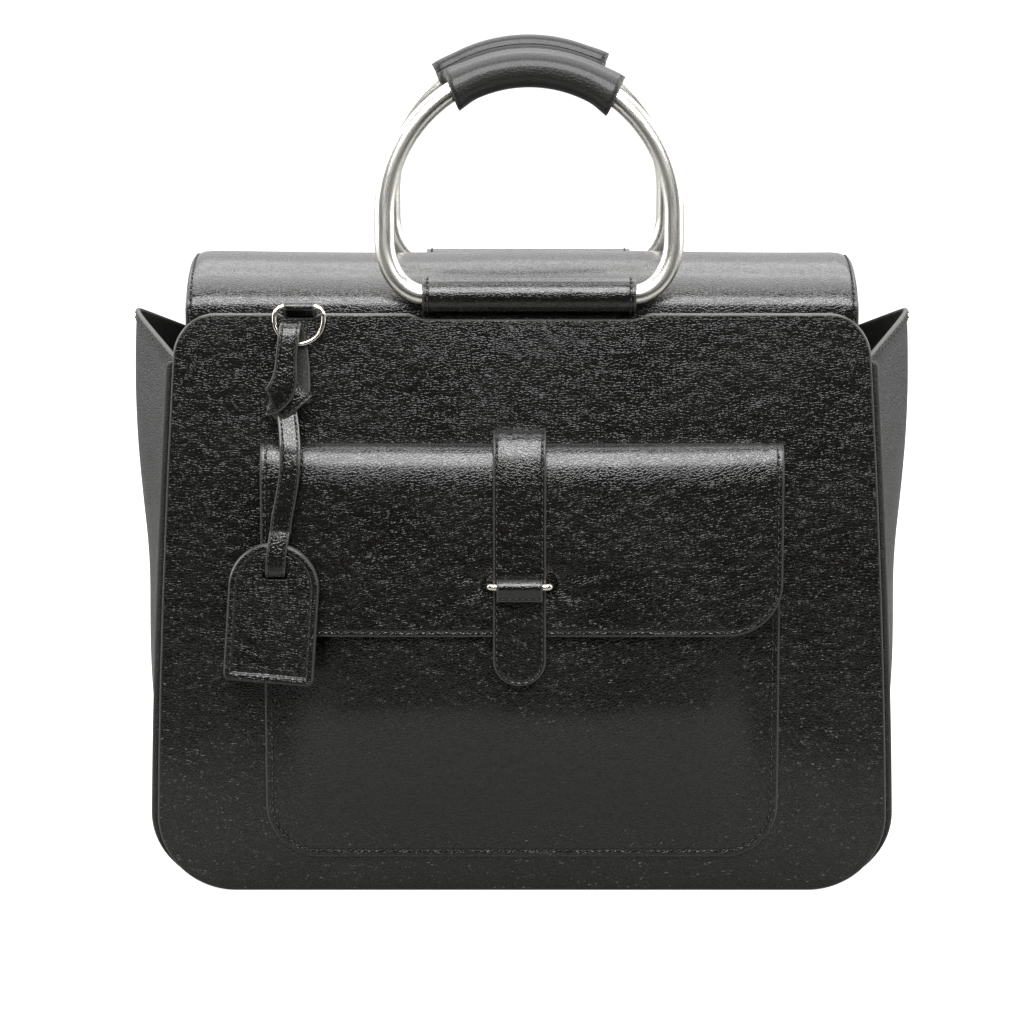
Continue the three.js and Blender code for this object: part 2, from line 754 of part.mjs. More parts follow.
// Its fall from the knot to the tag's slot: the share of the way, with the sag aside and ahead of that line.
const strapFallRows = [
  { share: 0.06, aside: 2.6, ahead: 2 },
  { share: 0.22, aside: 3, ahead: 5.6 },
  { share: 0.34, aside: 3, ahead: 6.4 },
  { share: 0.52, aside: 2.9, ahead: 5.6 },
  { share: 0.7, aside: 1.2, ahead: 4.2 },
];
// Its pass through the slot, from the slot's middle.
const strapSlotRows = [
  { aside: 0.6, below: -12, ahead: 5.6 },
  { aside: 0.3, below: -5, ahead: 4.9 },
  { aside: 0.2, below: -1, ahead: 4.5 },
  { aside: 0.1, below: 0.4, ahead: 1.1 },
  { aside: 0.2, below: -1, ahead: -2.3 },
  { aside: 0.3, below: -5, ahead: -2.4 },
  { aside: 0.5, below: -10, ahead: -2.3 },
];
const knotHalf = new THREE.Vector3(8.6, 5.2, 11.5);
const knotTurn = THREE.MathUtils.degToRad(-22);
const knotBelowRing = 25.3;
const knotAsideRing = -6;
const knotAheadRing = 3.8;

const tagSlotPlace = onPanel(tagCentreX, panelHeight - tagTopDrop - tagSlotDrop, tagStandOff);

// A flat strap along points of its middle line, its width along X.
function ribbon(points, width, thickness) {
  const line = new THREE.CatmullRomCurve3(points);
  return sheet(
    [-width / 2, width / 2],
    spread(0, 1, 2 * (points.length - 1)),
    (offset, share) => {
      const at = line.getPoint(share);
      const along = line.getTangent(share);
      const outward = new THREE.Vector3(0, along.z, -along.y).normalize();
      return at.addScaledVector(outward, thickness / 2).add(new THREE.Vector3(-offset, 0, 0));
    },
    thickness,
  );
}

function tagStrapGeometry() {
  const drop = dRingCornerRise + dRingSideLength + dRingRadius;
  const foot = dRingAxis.clone().add(
    new THREE.Vector3(0, -drop * Math.sin(dRingTilt), -drop * Math.cos(dRingTilt)),
  );
  const beside = (from, { aside, below, ahead }) =>
    new THREE.Vector3(from.x + aside, from.y - ahead, from.z - below);
  const knotAt = beside(foot, { aside: knotAsideRing, below: knotBelowRing, ahead: knotAheadRing });
  const fallTop = strapSlotRows.map((row) => beside(tagSlotPlace, row));
  const fall = strapFallRows.map(({ share, aside, ahead }) =>
    knotAt.clone().lerp(tagSlotPlace, share).add(new THREE.Vector3(aside, -ahead, 0)),
  );
  const knot = new THREE.SphereGeometry(1, 12, 8).scale(knotHalf.x, knotHalf.y, knotHalf.z);
  knot.rotateY(knotTurn).translate(knotAt.x, knotAt.y, knotAt.z);
  const loop = ribbon(strapLoopRows.map((row) => beside(foot, row)), tagStrapWidth, tagStrapThickness);
  const drape = ribbon([...fall, ...fallTop], tagStrapWidth, tagStrapThickness);
  return toGeometry(toSolid(knot).add(toSolid(loop)).add(toSolid(drape)));
}

// Tag outline about its slot: an arched top, straight sides and small bottom corners.
function tagOutline(inset) {
  const half = tagWidth / 2 - inset;
  const corner = Math.max(tagCornerRadius - inset, tagInnerCornerRadius);
  const arch = tagWidth / 2;
  const bottom = tagSlotDrop - tagHeight + inset;
  const shoulder = tagSlotDrop - arch;
  const shape = new THREE.Shape();
  shape.absarc(0, shoulder, half, 0, Math.PI);
  shape.lineTo(-half, bottom + corner);
  shape.absarc(-half + corner, bottom + corner, corner, Math.PI, 1.5 * Math.PI);
  shape.lineTo(half - corner, bottom);
  shape.absarc(half - corner, bottom + corner, corner, -Math.PI / 2, 0);
  return shape;
}

function tagMesh() {
  const plate = { depth: tagThickness, bevelEnabled: false, curveSegments: 8 };
  const rise = { depth: tagThickness + tagRimHeight, bevelEnabled: false, curveSegments: 8 };
  const rim = tagOutline(0);
  rim.holes.push(new THREE.Path(tagOutline(tagRimWidth).getPoints(8)));
  const slot = toSolid(new THREE.BoxGeometry(tagSlotWidth, tagSlotHeight, 4 * tagThickness));
  const solid = toSolid(new THREE.ExtrudeGeometry(tagOutline(0), plate))
    .add(toSolid(new THREE.ExtrudeGeometry(rim, rise)))
    .subtract(slot);
  const mesh = piece("luggage_tag", toGeometry(solid).rotateX(Math.PI / 2), leather);
  mesh.position.copy(tagSlotPlace);
  mesh.rotation.set(tagTilt, -tagTurn, tagYaw);
  return mesh;
}

const bag = new THREE.Group();
bag.add(piece("front_panel", panelSheet([sleeveStep, tabStep], 1), leather));
bag.add(piece("back_panel", panelSheet([sleeveStep], -1), leather));
bag.add(piece("gusset", gussetSheet(), leather));
bag.add(piece("top_flap", topFlapSheet(), leather));
bag.add(handle("front", 1, frontGripShift));
bag.add(handle("back", -1, backGripShift));
bag.add(sleeveMesh("front", 1));
bag.add(sleeveMesh("back", -1));
bag.add(piece("pocket_body", pocketSheet(), leather));
bag.add(piece("pocket_flap", pocketFlapGeometry(), leather));
bag.add(piece("pocket_strap", pocketStrapSheet(), leather));
const staple = piece("closure_staple", stapleGeometry(), paleMetal);
const stapleWrap = piece("staple_wrap", stapleWrapGeometry(), leather);
staple.position.copy(staplePlace);
stapleWrap.position.copy(staplePlace);
bag.add(staple, stapleWrap);
bag.add(dRingMesh());
bag.add(dRingTabMesh());
bag.add(piece("tag_strap", tagStrapGeometry(), leather));
bag.add(tagMesh());

// The origin is the middle of the whole bag's base.
const extent = new THREE.Box3().setFromObject(bag);
const middleOfBase = extent.getCenter(new THREE.Vector3()).setZ(extent.min.z);
bag.position.sub(middleOfBase);

export default bag;
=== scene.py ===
import bmesh
import bpy
import numpy as np
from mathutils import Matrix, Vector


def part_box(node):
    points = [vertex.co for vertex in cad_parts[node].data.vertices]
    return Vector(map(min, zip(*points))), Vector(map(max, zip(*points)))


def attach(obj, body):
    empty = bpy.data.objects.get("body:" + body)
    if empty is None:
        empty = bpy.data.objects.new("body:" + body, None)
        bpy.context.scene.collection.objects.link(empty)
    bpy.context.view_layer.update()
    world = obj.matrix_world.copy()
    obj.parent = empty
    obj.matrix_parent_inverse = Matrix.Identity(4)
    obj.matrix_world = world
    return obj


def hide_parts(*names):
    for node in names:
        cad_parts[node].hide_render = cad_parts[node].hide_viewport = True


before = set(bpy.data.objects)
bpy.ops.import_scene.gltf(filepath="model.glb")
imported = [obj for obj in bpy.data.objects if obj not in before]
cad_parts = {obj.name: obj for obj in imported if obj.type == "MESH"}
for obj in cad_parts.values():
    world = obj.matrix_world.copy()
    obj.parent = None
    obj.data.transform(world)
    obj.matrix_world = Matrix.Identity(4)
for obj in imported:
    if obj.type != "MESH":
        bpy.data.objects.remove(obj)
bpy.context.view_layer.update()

# Front and back panels: two stiff leather boards with round corners, crowned a little in the middle.
# Black pebbled leather with a painted edge, cut lower under the handle sleeve and under the D-ring's tab,
# with a line of stitches along the top edge and a bar tack beside each gusset joint.
panel_low, panel_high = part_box("front_panel")
panel_height = panel_high.z
middle_y = (panel_low.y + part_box("back_panel")[1].y) / 2
panel_bottom_width = 0.296
panel_top_width = 0.275
panel_taper_power = 1.6
panel_bottom_radius = 0.032
panel_top_radius = 0.017
panel_thickness = 0.0026
panel_crown = 0.0016
panel_wave = 0.00022
depth_at_top = 0.090
depth_at_bottom = 0.104
seam_gap = 0.0003
handle_x = 0.0028
sleeve_half = 0.0423
edge_bend = 0.0007
edge_rings = (0.0011, 0.0015, 0.0035, 0.005)
seam_rings = (-0.0007, -0.00035, 0, 0.00035, 0.0007, 0.0014)
seam_depth = 0.00026
seam_width = 0.0004
edge_cuts = {
    "sleeve": (handle_x, sleeve_half, 0.005, 0.0022),
    "tab": (-0.0882, 0.0063, 0.0015, 0.0014),
}


def ease(value, low, high):
    """S-curve from 0 at low to 1 at high, flat beyond them: 3 s squared minus 2 s cubed."""
    share = np.clip((value - low) / (high - low), 0, 1)
    return share * share * (3 - 2 * share)


def half_depth(z):
    """Half the bag's depth, which narrows evenly from the bottom to the top."""
    return (depth_at_bottom + (depth_at_top - depth_at_bottom) * z / panel_height) / 2


def panel_side(z):
    """Half the panel's width: it narrows upwards with the height's share to the taper's power."""
    share = np.maximum(z / panel_height, 0) ** panel_taper_power
    return (panel_bottom_width - (panel_bottom_width - panel_top_width) * share) / 2


def panel_face(x, z):
    """The outer face's distance from the bag's middle: half the depth, the crown and a faint wave."""
    across = np.minimum(np.abs(x) / panel_side(z), 1)
    swell = np.cos(across * np.pi / 2) * np.sin(np.pi * z / panel_height)
    wave = panel_wave * np.sin(52 * x + 1.1) * np.sin(44 * z + 0.4) * np.sin(np.pi * z / panel_height)
    return half_depth(z) + panel_crown * swell + wave


def rounded_outline(width, bottom, top, bottom_radius, top_radius, spacing):
    """A rounded rectangle as a function of its inset. Its sides move in and its corner radii shrink by the
    inset, and the points run anticlockwise from the lower right corner, as many at each inset."""
    half = width / 2
    corners = [
        (1, 1, bottom, bottom_radius, -90),
        (1, -1, top, top_radius, 0),
        (-1, -1, top, top_radius, 90),
        (-1, 1, bottom, bottom_radius, 180),
    ]
    sides = [top - bottom - bottom_radius - top_radius, width - 2 * top_radius]
    sides += [sides[0], width - 2 * bottom_radius]

    def outline(inset):
        arcs = []
        for side, inward, level, radius, start in corners:
            round_off = max(radius - inset, 0.0002)
            turn = np.radians(start + np.linspace(0, 90, max(int(radius * 1.6 / spacing), 4)))
            middle = [side * (half - inset - round_off), level + inward * (inset + round_off)]
            arcs.append(np.array(middle) + round_off * np.stack([np.cos(turn), np.sin(turn)], 1))
        runs = []
        for k, arc in enumerate(arcs):
            share = np.linspace(0, 1, max(int(sides[k] / spacing), 1) + 2)[1:-1, None]
            runs += [arc, arc[-1] + (arcs[(k + 1) % 4][0] - arc[-1]) * share]
        return np.concatenate(runs)

    return outline


def lift_off(surface, u, v, lift, step=0.0002):
    """Points of surface(u, v) moved along its normal, the cross product of its two small differences."""
    along = surface(u + step, v) - surface(u - step, v)
    upward = surface(u, v + step) - surface(u, v - step)
    normal = np.cross(along, upward)
    normal /= np.linalg.norm(normal, axis=-1, keepdims=True) + 1e-12
    return surface(u, v) + normal * np.asarray(lift)[..., None]


def build_mesh(name, grid, material, around=True, along=False, pattern=None, values=None):
    """A mesh from a grid of points, joined round each row where around is true and from the last row to the
    first where along is true. Points that coincide are merged, which closes the poles."""
    rows, columns = grid.shape[:2]
    row = np.arange(rows if along else rows - 1)[:, None]
    column = np.arange(columns if around else columns - 1)[None, :]
    next_row = (row + 1) % rows
    next_column = (column + 1) % columns
    corners = [row * columns + column, next_row * columns + column]
    corners += [next_row * columns + next_column, row * columns + next_column]
    quads = np.stack([np.broadcast_to(c, (row.size, column.size)).ravel() for c in corners], 1)
    mesh = bpy.data.meshes.new(name)
    mesh.from_pydata(grid.reshape(-1, 3).tolist(), [], quads.tolist())
    if pattern is not None:
        layer = mesh.uv_layers.new(name="pattern")
        layer.data.foreach_set("uv", pattern.reshape(-1, 2)[quads.ravel()].astype(np.float32).ravel())
    for title, value in (values or {}).items():
        attribute = mesh.attributes.new(title, "FLOAT", "POINT")
        whole = np.broadcast_to(value, (rows, columns)).astype(np.float32)
        attribute.data.foreach_set("value", whole.ravel())
    work = bmesh.new()
    work.from_mesh(mesh)
    bmesh.ops.remove_doubles(work, verts=work.verts, dist=1e-7)
    work.to_mesh(mesh)
    work.free()
    mesh.shade_smooth()
    mesh.materials.append(material)
    piece = bpy.data.objects.new(name, mesh)
    bpy.context.scene.collection.objects.link(piece)
    return piece


def leather_shell(
    name, outline, surface, thickness, material, seam=None, relief=None, steps=24, deep=0.008
):
    """A leather piece cut to its outline and laid on its surface: rings from the middle to the seam, the
    rounded edge and back behind, each ring an inset of the outline and a height off the surface. The middle
    line is as long as the outline is longer than it is wide, and the inner rings draw in to it evenly."""
    edge = outline(0)
    low, high = edge.min(0), edge.max(0)
    spare = (high - low) / 2 - (high - low).min() / 2
    centre = (high + low) / 2
    line = centre + np.clip(edge - centre, -spare, spare)
    deep = min(deep, 0.36 * (high - low).min())
    bend = min(0.36 * thickness, edge_bend)
    insets = [bend + 0.0002, *edge_rings, deep]
    if seam:
        insets += [seam + offset for offset in seam_rings]
    insets = sorted(x for x in insets if bend < x <= deep)
    rings = []
    for share in np.linspace(1, 0, steps, endpoint=False):
        rings.append((deep, share, 0, 0))
    for inset in reversed(insets):
        groove = seam_depth * np.exp(-(((inset - seam) / seam_width) ** 2)) if seam else 0
        rings.append((inset, 0, -groove, 0))
    for turn in np.linspace(0, np.pi, 9):
        level = thickness * (np.cos(turn) - 1) / 2
        rings.append((bend * (1 - np.sin(turn)), 0, level, ease(turn, 0, np.pi)))
    for inset in (0.003, deep):
        rings.append((inset, 0, -thickness, 1))
    for share in np.linspace(0, 1, max(steps // 3, 4))[1:]:
        rings.append((deep, share, -thickness, 1))
    uv = np.stack([outline(inset) * (1 - share) + line * share for inset, share, _, _ in rings])
    lift = np.array([ring[2] for ring in rings])[:, None] * np.ones(uv.shape[1])
    inside = np.array([ring[3] for ring in rings])[:, None]
    if relief:
        lift = lift + relief(uv[..., 0], uv[..., 1]) * (1 - inside)
    away = np.array([ring[0] + ring[1] * (high - low).min() / 2 for ring in rings])[:, None]
    points = lift_off(surface, uv[..., 0], uv[..., 1], lift)
    values = {"from_edge": away * 1000, "inside": inside}
    return build_mesh(name, points, material, pattern=uv, values=values)


def seam_run(outline, inset, keep):
    """The stretch of an outline's inset where keep(u, v) is true, in order round the outline."""
    points = outline(inset)
    kept = keep(points[:, 0], points[:, 1])
    if kept.all():
        return np.concatenate([points, points[:1]])
    start = int(np.flatnonzero(kept & ~np.roll(kept, 1))[0])
    points, kept = np.roll(points, -start, 0), np.roll(kept, -start)
    stop = int(np.flatnonzero(~kept)[0])
    return points[:stop]


def sewn(name, surface, runs, material, pitch=0.003, share=0.74, radius=0.0003, slant=0.12, height=0.00012):
    """Thread stitches along runs of (u, v) points: each is a small bent tube of six sides and five rings,
    turned by the slant, highest in its middle and sunk at both ends."""
    stations = np.linspace(-1, 1, 5)
    around = np.radians(np.arange(6) * 60)
    clouds = []
    for run in runs:
        run = np.asarray(run, float)
        base = surface(run[:, 0], run[:, 1])
        length = np.concatenate([[0], np.cumsum(np.linalg.norm(np.diff(base, axis=0), axis=1))])
        count = max(int(length[-1] / pitch), 1)
        centre = (np.arange(count) + 0.5) * length[-1] / count
        at = np.clip(centre[:, None] + stations * pitch * share / 2, 0, length[-1])
        u = np.interp(at, length, run[:, 0])
        v = np.interp(at, length, run[:, 1])
        spot = lift_off(surface, u, v, np.zeros_like(u))
        normal = lift_off(surface, u, v, np.ones_like(u)) - spot
        ahead = np.gradient(spot, axis=1)
        ahead /= np.linalg.norm(ahead, axis=-1, keepdims=True) + 1e-12
        aside = np.cross(normal, ahead)
        bow = height + radius * (0.5 - 1.6 * stations**2)
        lean = stations * pitch * share / 2 * slant
        spot = spot + normal * bow[None, :, None] + aside * lean[None, :, None]
        size = radius * (1 - 0.45 * stations**4)
        ring = aside[:, :, None] * np.cos(around)[:, None] + normal[:, :, None] * np.sin(around)[:, None]
        clouds.append(spot[:, :, None] + ring * size[None, :, None, None])
    points = np.concatenate(clouds)
    count = len(points)
    ring, side = np.arange(4)[:, None] * 6, np.arange(6)[None, :]
    turn = (side + 1) % 6
    quads = np.stack([ring + side, ring + turn, ring + 6 + turn, ring + 6 + side], -1).reshape(-1, 4)
    caps = np.array([[0, 3, 2, 1], [0, 5, 4, 3], [24, 25, 26, 27], [24, 27, 28, 29]])
    faces = (np.concatenate([quads, caps])[None] + 30 * np.arange(count)[:, None, None]).reshape(-1, 4)
    mesh = bpy.data.meshes.new(name)
    mesh.from_pydata(points.reshape(-1, 3).tolist(), [], faces.tolist())
    mesh.shade_smooth()
    mesh.materials.append(material)
    piece = bpy.data.objects.new(name, mesh)
    bpy.context.scene.collection.objects.link(piece)
    return piece


def add_node(tree, kind, inputs=None, **settings):
    """A new shader node with its settings, and its inputs linked to sockets or set to values."""
    made = tree.nodes.new(kind)
    for name, value in settings.items():
        setattr(made, name, value)
    for key, value in (inputs or {}).items():
        if isinstance(value, bpy.types.NodeSocket):
            tree.links.new(value, made.inputs[key])
        else:
            made.inputs[key].default_value = value
    return made


def maths(tree, operation, *values):
    """The result of one Math node: the operation on up to three sockets or numbers."""
    return add_node(tree, "ShaderNodeMath", dict(enumerate(values)), operation=operation).outputs[0]


def vector_maths(tree, operation, first, second):
    """The result of one Vector Math node on two vectors, or on a vector and the number that scales it."""
    given = {0: first, "Scale" if operation == "SCALE" else 1: second}
    return add_node(tree, "ShaderNodeVectorMath", given, operation=operation).outputs[0]


def smooth_range(tree, value, low, high, start=0.0, end=1.0):
    """The value carried from low..high to start..end along an S-curve."""
    limits = {"Value": value, "From Min": low, "From Max": high, "To Min": start, "To Max": end}
    return add_node(tree, "ShaderNodeMapRange", limits, interpolation_type="SMOOTHSTEP").outputs[0]


def grain_group():
    """Pebbled leather: a warped pattern of flat cells with round shoulders, sparse long pits, fine folds
    and a slow wave. It puts out the height in millimetres, a painted shade for the colour, darker in the
    valleys between the cells and in the pits, and a roughness value."""
    tree = bpy.data.node_groups.new("leather grain", "ShaderNodeTree")
    sockets = {"Pattern": "NodeSocketVector", "Pit Depth": "NodeSocketFloat", "Crease": "NodeSocketFloat"}
    for name, kind in sockets.items():
        tree.interface.new_socket(name, in_out="INPUT", socket_type=kind)
    for name in ("Height", "Painted Shade", "Rough"):
        tree.interface.new_socket(name, in_out="OUTPUT", socket_type="NodeSocketFloat")
    given = add_node(tree, "NodeGroupInput").outputs
    bend = add_node(tree, "ShaderNodeTexNoise", {"Vector": given["Pattern"], "Scale": 0.22, "Detail": 2.0})
    shift = vector_maths(tree, "SUBTRACT", bend.outputs["Color"], (0.5, 0.5, 0.5))
    bent = vector_maths(tree, "ADD", given["Pattern"], vector_maths(tree, "SCALE", shift, 2.6))
    squeezed = vector_maths(tree, "MULTIPLY", bent, (0.68, 1.08, 1))
    rim = add_node(
        tree, "ShaderNodeTexVoronoi", {"Vector": squeezed, "Scale": 0.9},
        voronoi_dimensions="2D", feature="DISTANCE_TO_EDGE",
    ).outputs["Distance"]
    pebble = smooth_range(tree, rim, 0.0, 0.26)
    spread = vector_maths(tree, "MULTIPLY", bent, (0.3, 0.72, 1))
    holes = add_node(tree, "ShaderNodeTexVoronoi", {"Vector": spread, "Scale": 0.8}, voronoi_dimensions="2D")
    pit = smooth_range(tree, holes.outputs["Distance"], 0.06, 0.26, 1.0, 0.0)
    folds = {"Vector": squeezed, "Scale": 0.9, "Detail": 2.0, "Roughness": 0.5}
    fold = add_node(tree, "ShaderNodeTexNoise", folds).outputs[0]
    waves = {"Vector": given["Pattern"], "Scale": 0.035, "Detail": 2.0}
    wave = add_node(tree, "ShaderNodeTexNoise", waves).outputs[0]
    raised = maths(tree, "MULTIPLY", maths(tree, "MULTIPLY_ADD", pit, -0.8, pebble), given["Pit Depth"])
    creased = maths(tree, "MULTIPLY_ADD", fold, given["Crease"], raised)
    height = maths(tree, "MULTIPLY_ADD", wave, 0.5, creased)
    # Painted shade: the colour is made darker in the valleys between the cells and in the pits, where shade
    # falls; this shade also sets part of the roughness.
    valley_shade = add_node(tree, "ShaderNodeMapRange", {"Value": rim, "From Max": 0.14, "To Min": 0.25}).outputs[0]
    tone = add_node(
        tree, "ShaderNodeMath", {0: pit, 1: -0.7, 2: valley_shade}, operation="MULTIPLY_ADD", use_clamp=True
    ).outputs[0]
    rough = maths(tree, "MULTIPLY_ADD", tone, -0.5, wave)
    add_node(tree, "NodeGroupOutput", {"Height": height, "Painted Shade": tone, "Rough": rough})
    return tree


leather_grain = grain_group()


def leather_material(name, colour, rough=0.2, pit_depth=0.062, crease=0.07, turn=0.0, coat=0.3):
    """Black leather in the piece's own pattern coordinates: grain on its face with painted shade in its
    valleys and pits, smooth paint on the cut edge and a plain, duller flesh side. Turn tilts the grain, in
    degrees."""
    material = bpy.data.materials.new(name)
    material.use_nodes = True
    tree = material.node_tree
    shader = tree.nodes["Principled BSDF"]
    pattern = add_node(tree, "ShaderNodeUVMap", uv_map="pattern")
    turned = {"Rotation": (0, 0, np.radians(turn)), "Scale": (1000, 1000, 1)}
    placed = add_node(tree, "ShaderNodeMapping", {"Vector": pattern.outputs[0], **turned})
    given = {"Pattern": placed.outputs[0], "Pit Depth": pit_depth, "Crease": crease}
    grain = add_node(tree, "ShaderNodeGroup", given, node_tree=leather_grain)
    away = add_node(tree, "ShaderNodeAttribute", attribute_name="from_edge")
    flesh = add_node(tree, "ShaderNodeAttribute", attribute_name="inside")
    face = smooth_range(tree, away.outputs["Fac"], 0.55, 1.1)
    # Painted shade: the leather's colour is multiplied by the grain's shade, darker in its valleys and pits.
    painted_shade_inputs = {0: 1.0, 6: (*colour, 1), 7: grain.outputs["Painted Shade"]}
    painted_shade_colour = add_node(tree, "ShaderNodeMix", painted_shade_inputs, data_type="RGBA", blend_type="MULTIPLY")
    shades = {0: face, 6: (*edge_paint, 1), 7: painted_shade_colour.outputs[2]}
    shade = add_node(tree, "ShaderNodeMix", shades, data_type="RGBA")
    tree.links.new(shade.outputs[2], shader.inputs["Base Color"])
    dull = maths(tree, "MULTIPLY_ADD", grain.outputs["Rough"], 0.3, rough)
    painted = add_node(tree, "ShaderNodeMix", {0: face, 2: 0.3, 3: dull})
    inner = add_node(tree, "ShaderNodeMix", {0: flesh.outputs["Fac"], 2: painted.outputs[0], 3: 0.6})
    tree.links.new(inner.outputs[0], shader.inputs["Roughness"])
    raised = maths(tree, "MULTIPLY", grain.outputs["Height"], face)
    bump = add_node(tree, "ShaderNodeBump", {"Height": raised, "Distance": 0.001, "Strength": 1.0})
    tree.links.new(bump.outputs[0], shader.inputs["Normal"])
    shader.inputs["IOR"].default_value = 1.5
    shader.inputs["Coat Weight"].default_value = coat
    shader.inputs["Coat Roughness"].default_value = 0.18
    return material


def thread_material(name, colour):
    """Waxed thread: fine twisted ply lines on the object's own coordinates."""
    material = bpy.data.materials.new(name)
    material.use_nodes = True
    tree = material.node_tree
    shader = tree.nodes["Principled BSDF"]
    place = add_node(tree, "ShaderNodeTexCoord")
    twist = {"Vector": place.outputs["Object"], "Scale": 3500.0, "Detail": 1.0}
    ply = add_node(tree, "ShaderNodeTexNoise", twist)
    tones = {0: ply.outputs[0], 6: (*[c * 0.5 for c in colour], 1), 7: (*colour, 1)}
    tone = add_node(tree, "ShaderNodeMix", tones, data_type="RGBA")
    tree.links.new(tone.outputs[2], shader.inputs["Base Color"])
    bump = add_node(tree, "ShaderNodeBump", {"Height": ply.outputs[0], "Distance": 0.0001, "Strength": 0.6})
    tree.links.new(bump.outputs[0], shader.inputs["Normal"])
    shader.inputs["Roughness"].default_value = 0.5
    return material


black = (0.0038, 0.0035, 0.0028)
edge_paint = (0.03, 0.029, 0.025)
panel_leather = leather_material("black pebbled leather", black)
black_thread = thread_material("black waxed thread", (0.02, 0.02, 0.018))
panel_outline = rounded_outline(
    panel_bottom_width, seam_gap, panel_height, panel_bottom_radius, panel_top_radius, 0.0017
)


def panel_surface(facing, cuts):
    """The panel's outer face in its own pattern: the width tapers with the height and the top edge is cut
    lower at each cut, which fades over its ramp and over the top corner's height."""

    def surface(u, v):
        x = u * panel_side(v) / (panel_bottom_width / 2)
        drop = np.zeros_like(x)
        for centre, half, ramp, depth in cuts:
            drop = np.maximum(drop, depth * (1 - np.clip((np.abs(x - centre) - half) / ramp, 0, 1)))
        base = panel_height - panel_top_radius
        z = v - drop * np.clip((v - base) / panel_top_radius, 0, None)
        return np.stack([facing * x, middle_y - facing * panel_face(x, v), z], -1)

    return surface


front_surface = panel_surface(1, [edge_cuts["sleeve"], edge_cuts["tab"]])
back_surface = panel_surface(-1, [edge_cuts["sleeve"]])
top_stitch_inset = 0.0024
top_stitch_drop = 0.012
tack_x = 0.1405
tack_height = 0.215
tack_step = (0.0006, 0.0011)
tack_slant = (0.0016, 0.0028)
for title, surface in {"front_panel": front_surface, "back_panel": back_surface}.items():
    panel = leather_shell(title + "_leather", panel_outline, surface, panel_thickness, panel_leather)
    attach(panel, "root")
    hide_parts(title)
    top_run = seam_run(panel_outline, top_stitch_inset, lambda u, v: v > panel_height - top_stitch_drop)
    tacks = []
    for side in (-1, 1):
        for k in range(4):
            u = side * (tack_x - tack_step[0] * k)
            v = tack_height + tack_step[1] * k
            tacks.append([(u, v), (u - side * tack_slant[0], v - tack_slant[1])])
    threads = sewn(title + "_stitches", surface, [top_run], black_thread)
    tack = sewn(title + "_bar_tacks", surface, tacks, black_thread, pitch=0.004, share=0.95, radius=0.00035)
    for stitching in (threads, tack):
        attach(stitching, "root")

# Gusset: one long leather strip under the bag and up both sides, bowed out along its middle.
# Its long edges turn outwards as flanges behind the panels, sewn through, and its ends are winged tops with
# a folded hem.
gusset_thickness = 0.0014
flange_overhang = 0.0026
flange_inset = 0.0024
bottom_inset = 0.0014
wing_reach = 0.0186
wing_rise = 0.015
wing_seam_drop = 0.0195
wing_rise_start = 0.6
seam_top = panel_height - wing_seam_drop
strip_half = 0.046
flange_width = flange_inset + flange_overhang
flange_bend = 0.0010
flange_clearance = 0.0006
round_softness = 0.6
top_softness = 0.16
gusset_sag = 0.0005
wing_profile = np.array([
    (0, 0), (0.15, 0.12), (0.3, 0.3), (0.43, 0.41), (0.6, 0.54),
    (0.71, 0.69), (0.83, 0.87), (0.93, 0.98), (1, 1),
])


def gusset_route():
    """The strip's middle line from the bag's middle to a wing: distance, x, z and the turn to upright."""
    turn = np.linspace(0, np.pi / 2, 60)
    z = panel_bottom_radius * (1 - np.cos(turn))
    x = panel_side(z) - panel_bottom_radius * (1 - np.sin(turn))
    flat = np.linspace(0, x[0], 30)[:-1]
    high = np.linspace(panel_bottom_radius, seam_top, 80)[1:]
    x = np.concatenate([flat, x, panel_side(high)])
    z = np.concatenate([0 * flat, z, high])
    turn = np.concatenate([0 * flat, turn, 0 * high + np.pi / 2])
    return np.concatenate([[0], np.cumsum(np.hypot(np.diff(x), np.diff(z)))]), x, z, turn


route_s, route_x, route_z, route_turn = gusset_route()
wing_heights = np.linspace(0, 1, 200)
wing_shares = np.interp(wing_heights, wing_profile[:, 0], wing_profile[:, 1])
wing_shares = np.convolve(np.pad(wing_shares, 12, mode="edge"), np.ones(25) / 25, mode="valid")


def ridge(share, softness):
    """1 in the strip's middle and 0 at its seams, round over the softness and straight beyond."""
    top = np.sqrt(1 + softness**2) - softness
    return 1 - (np.sqrt(share**2 + softness**2) - softness) / top


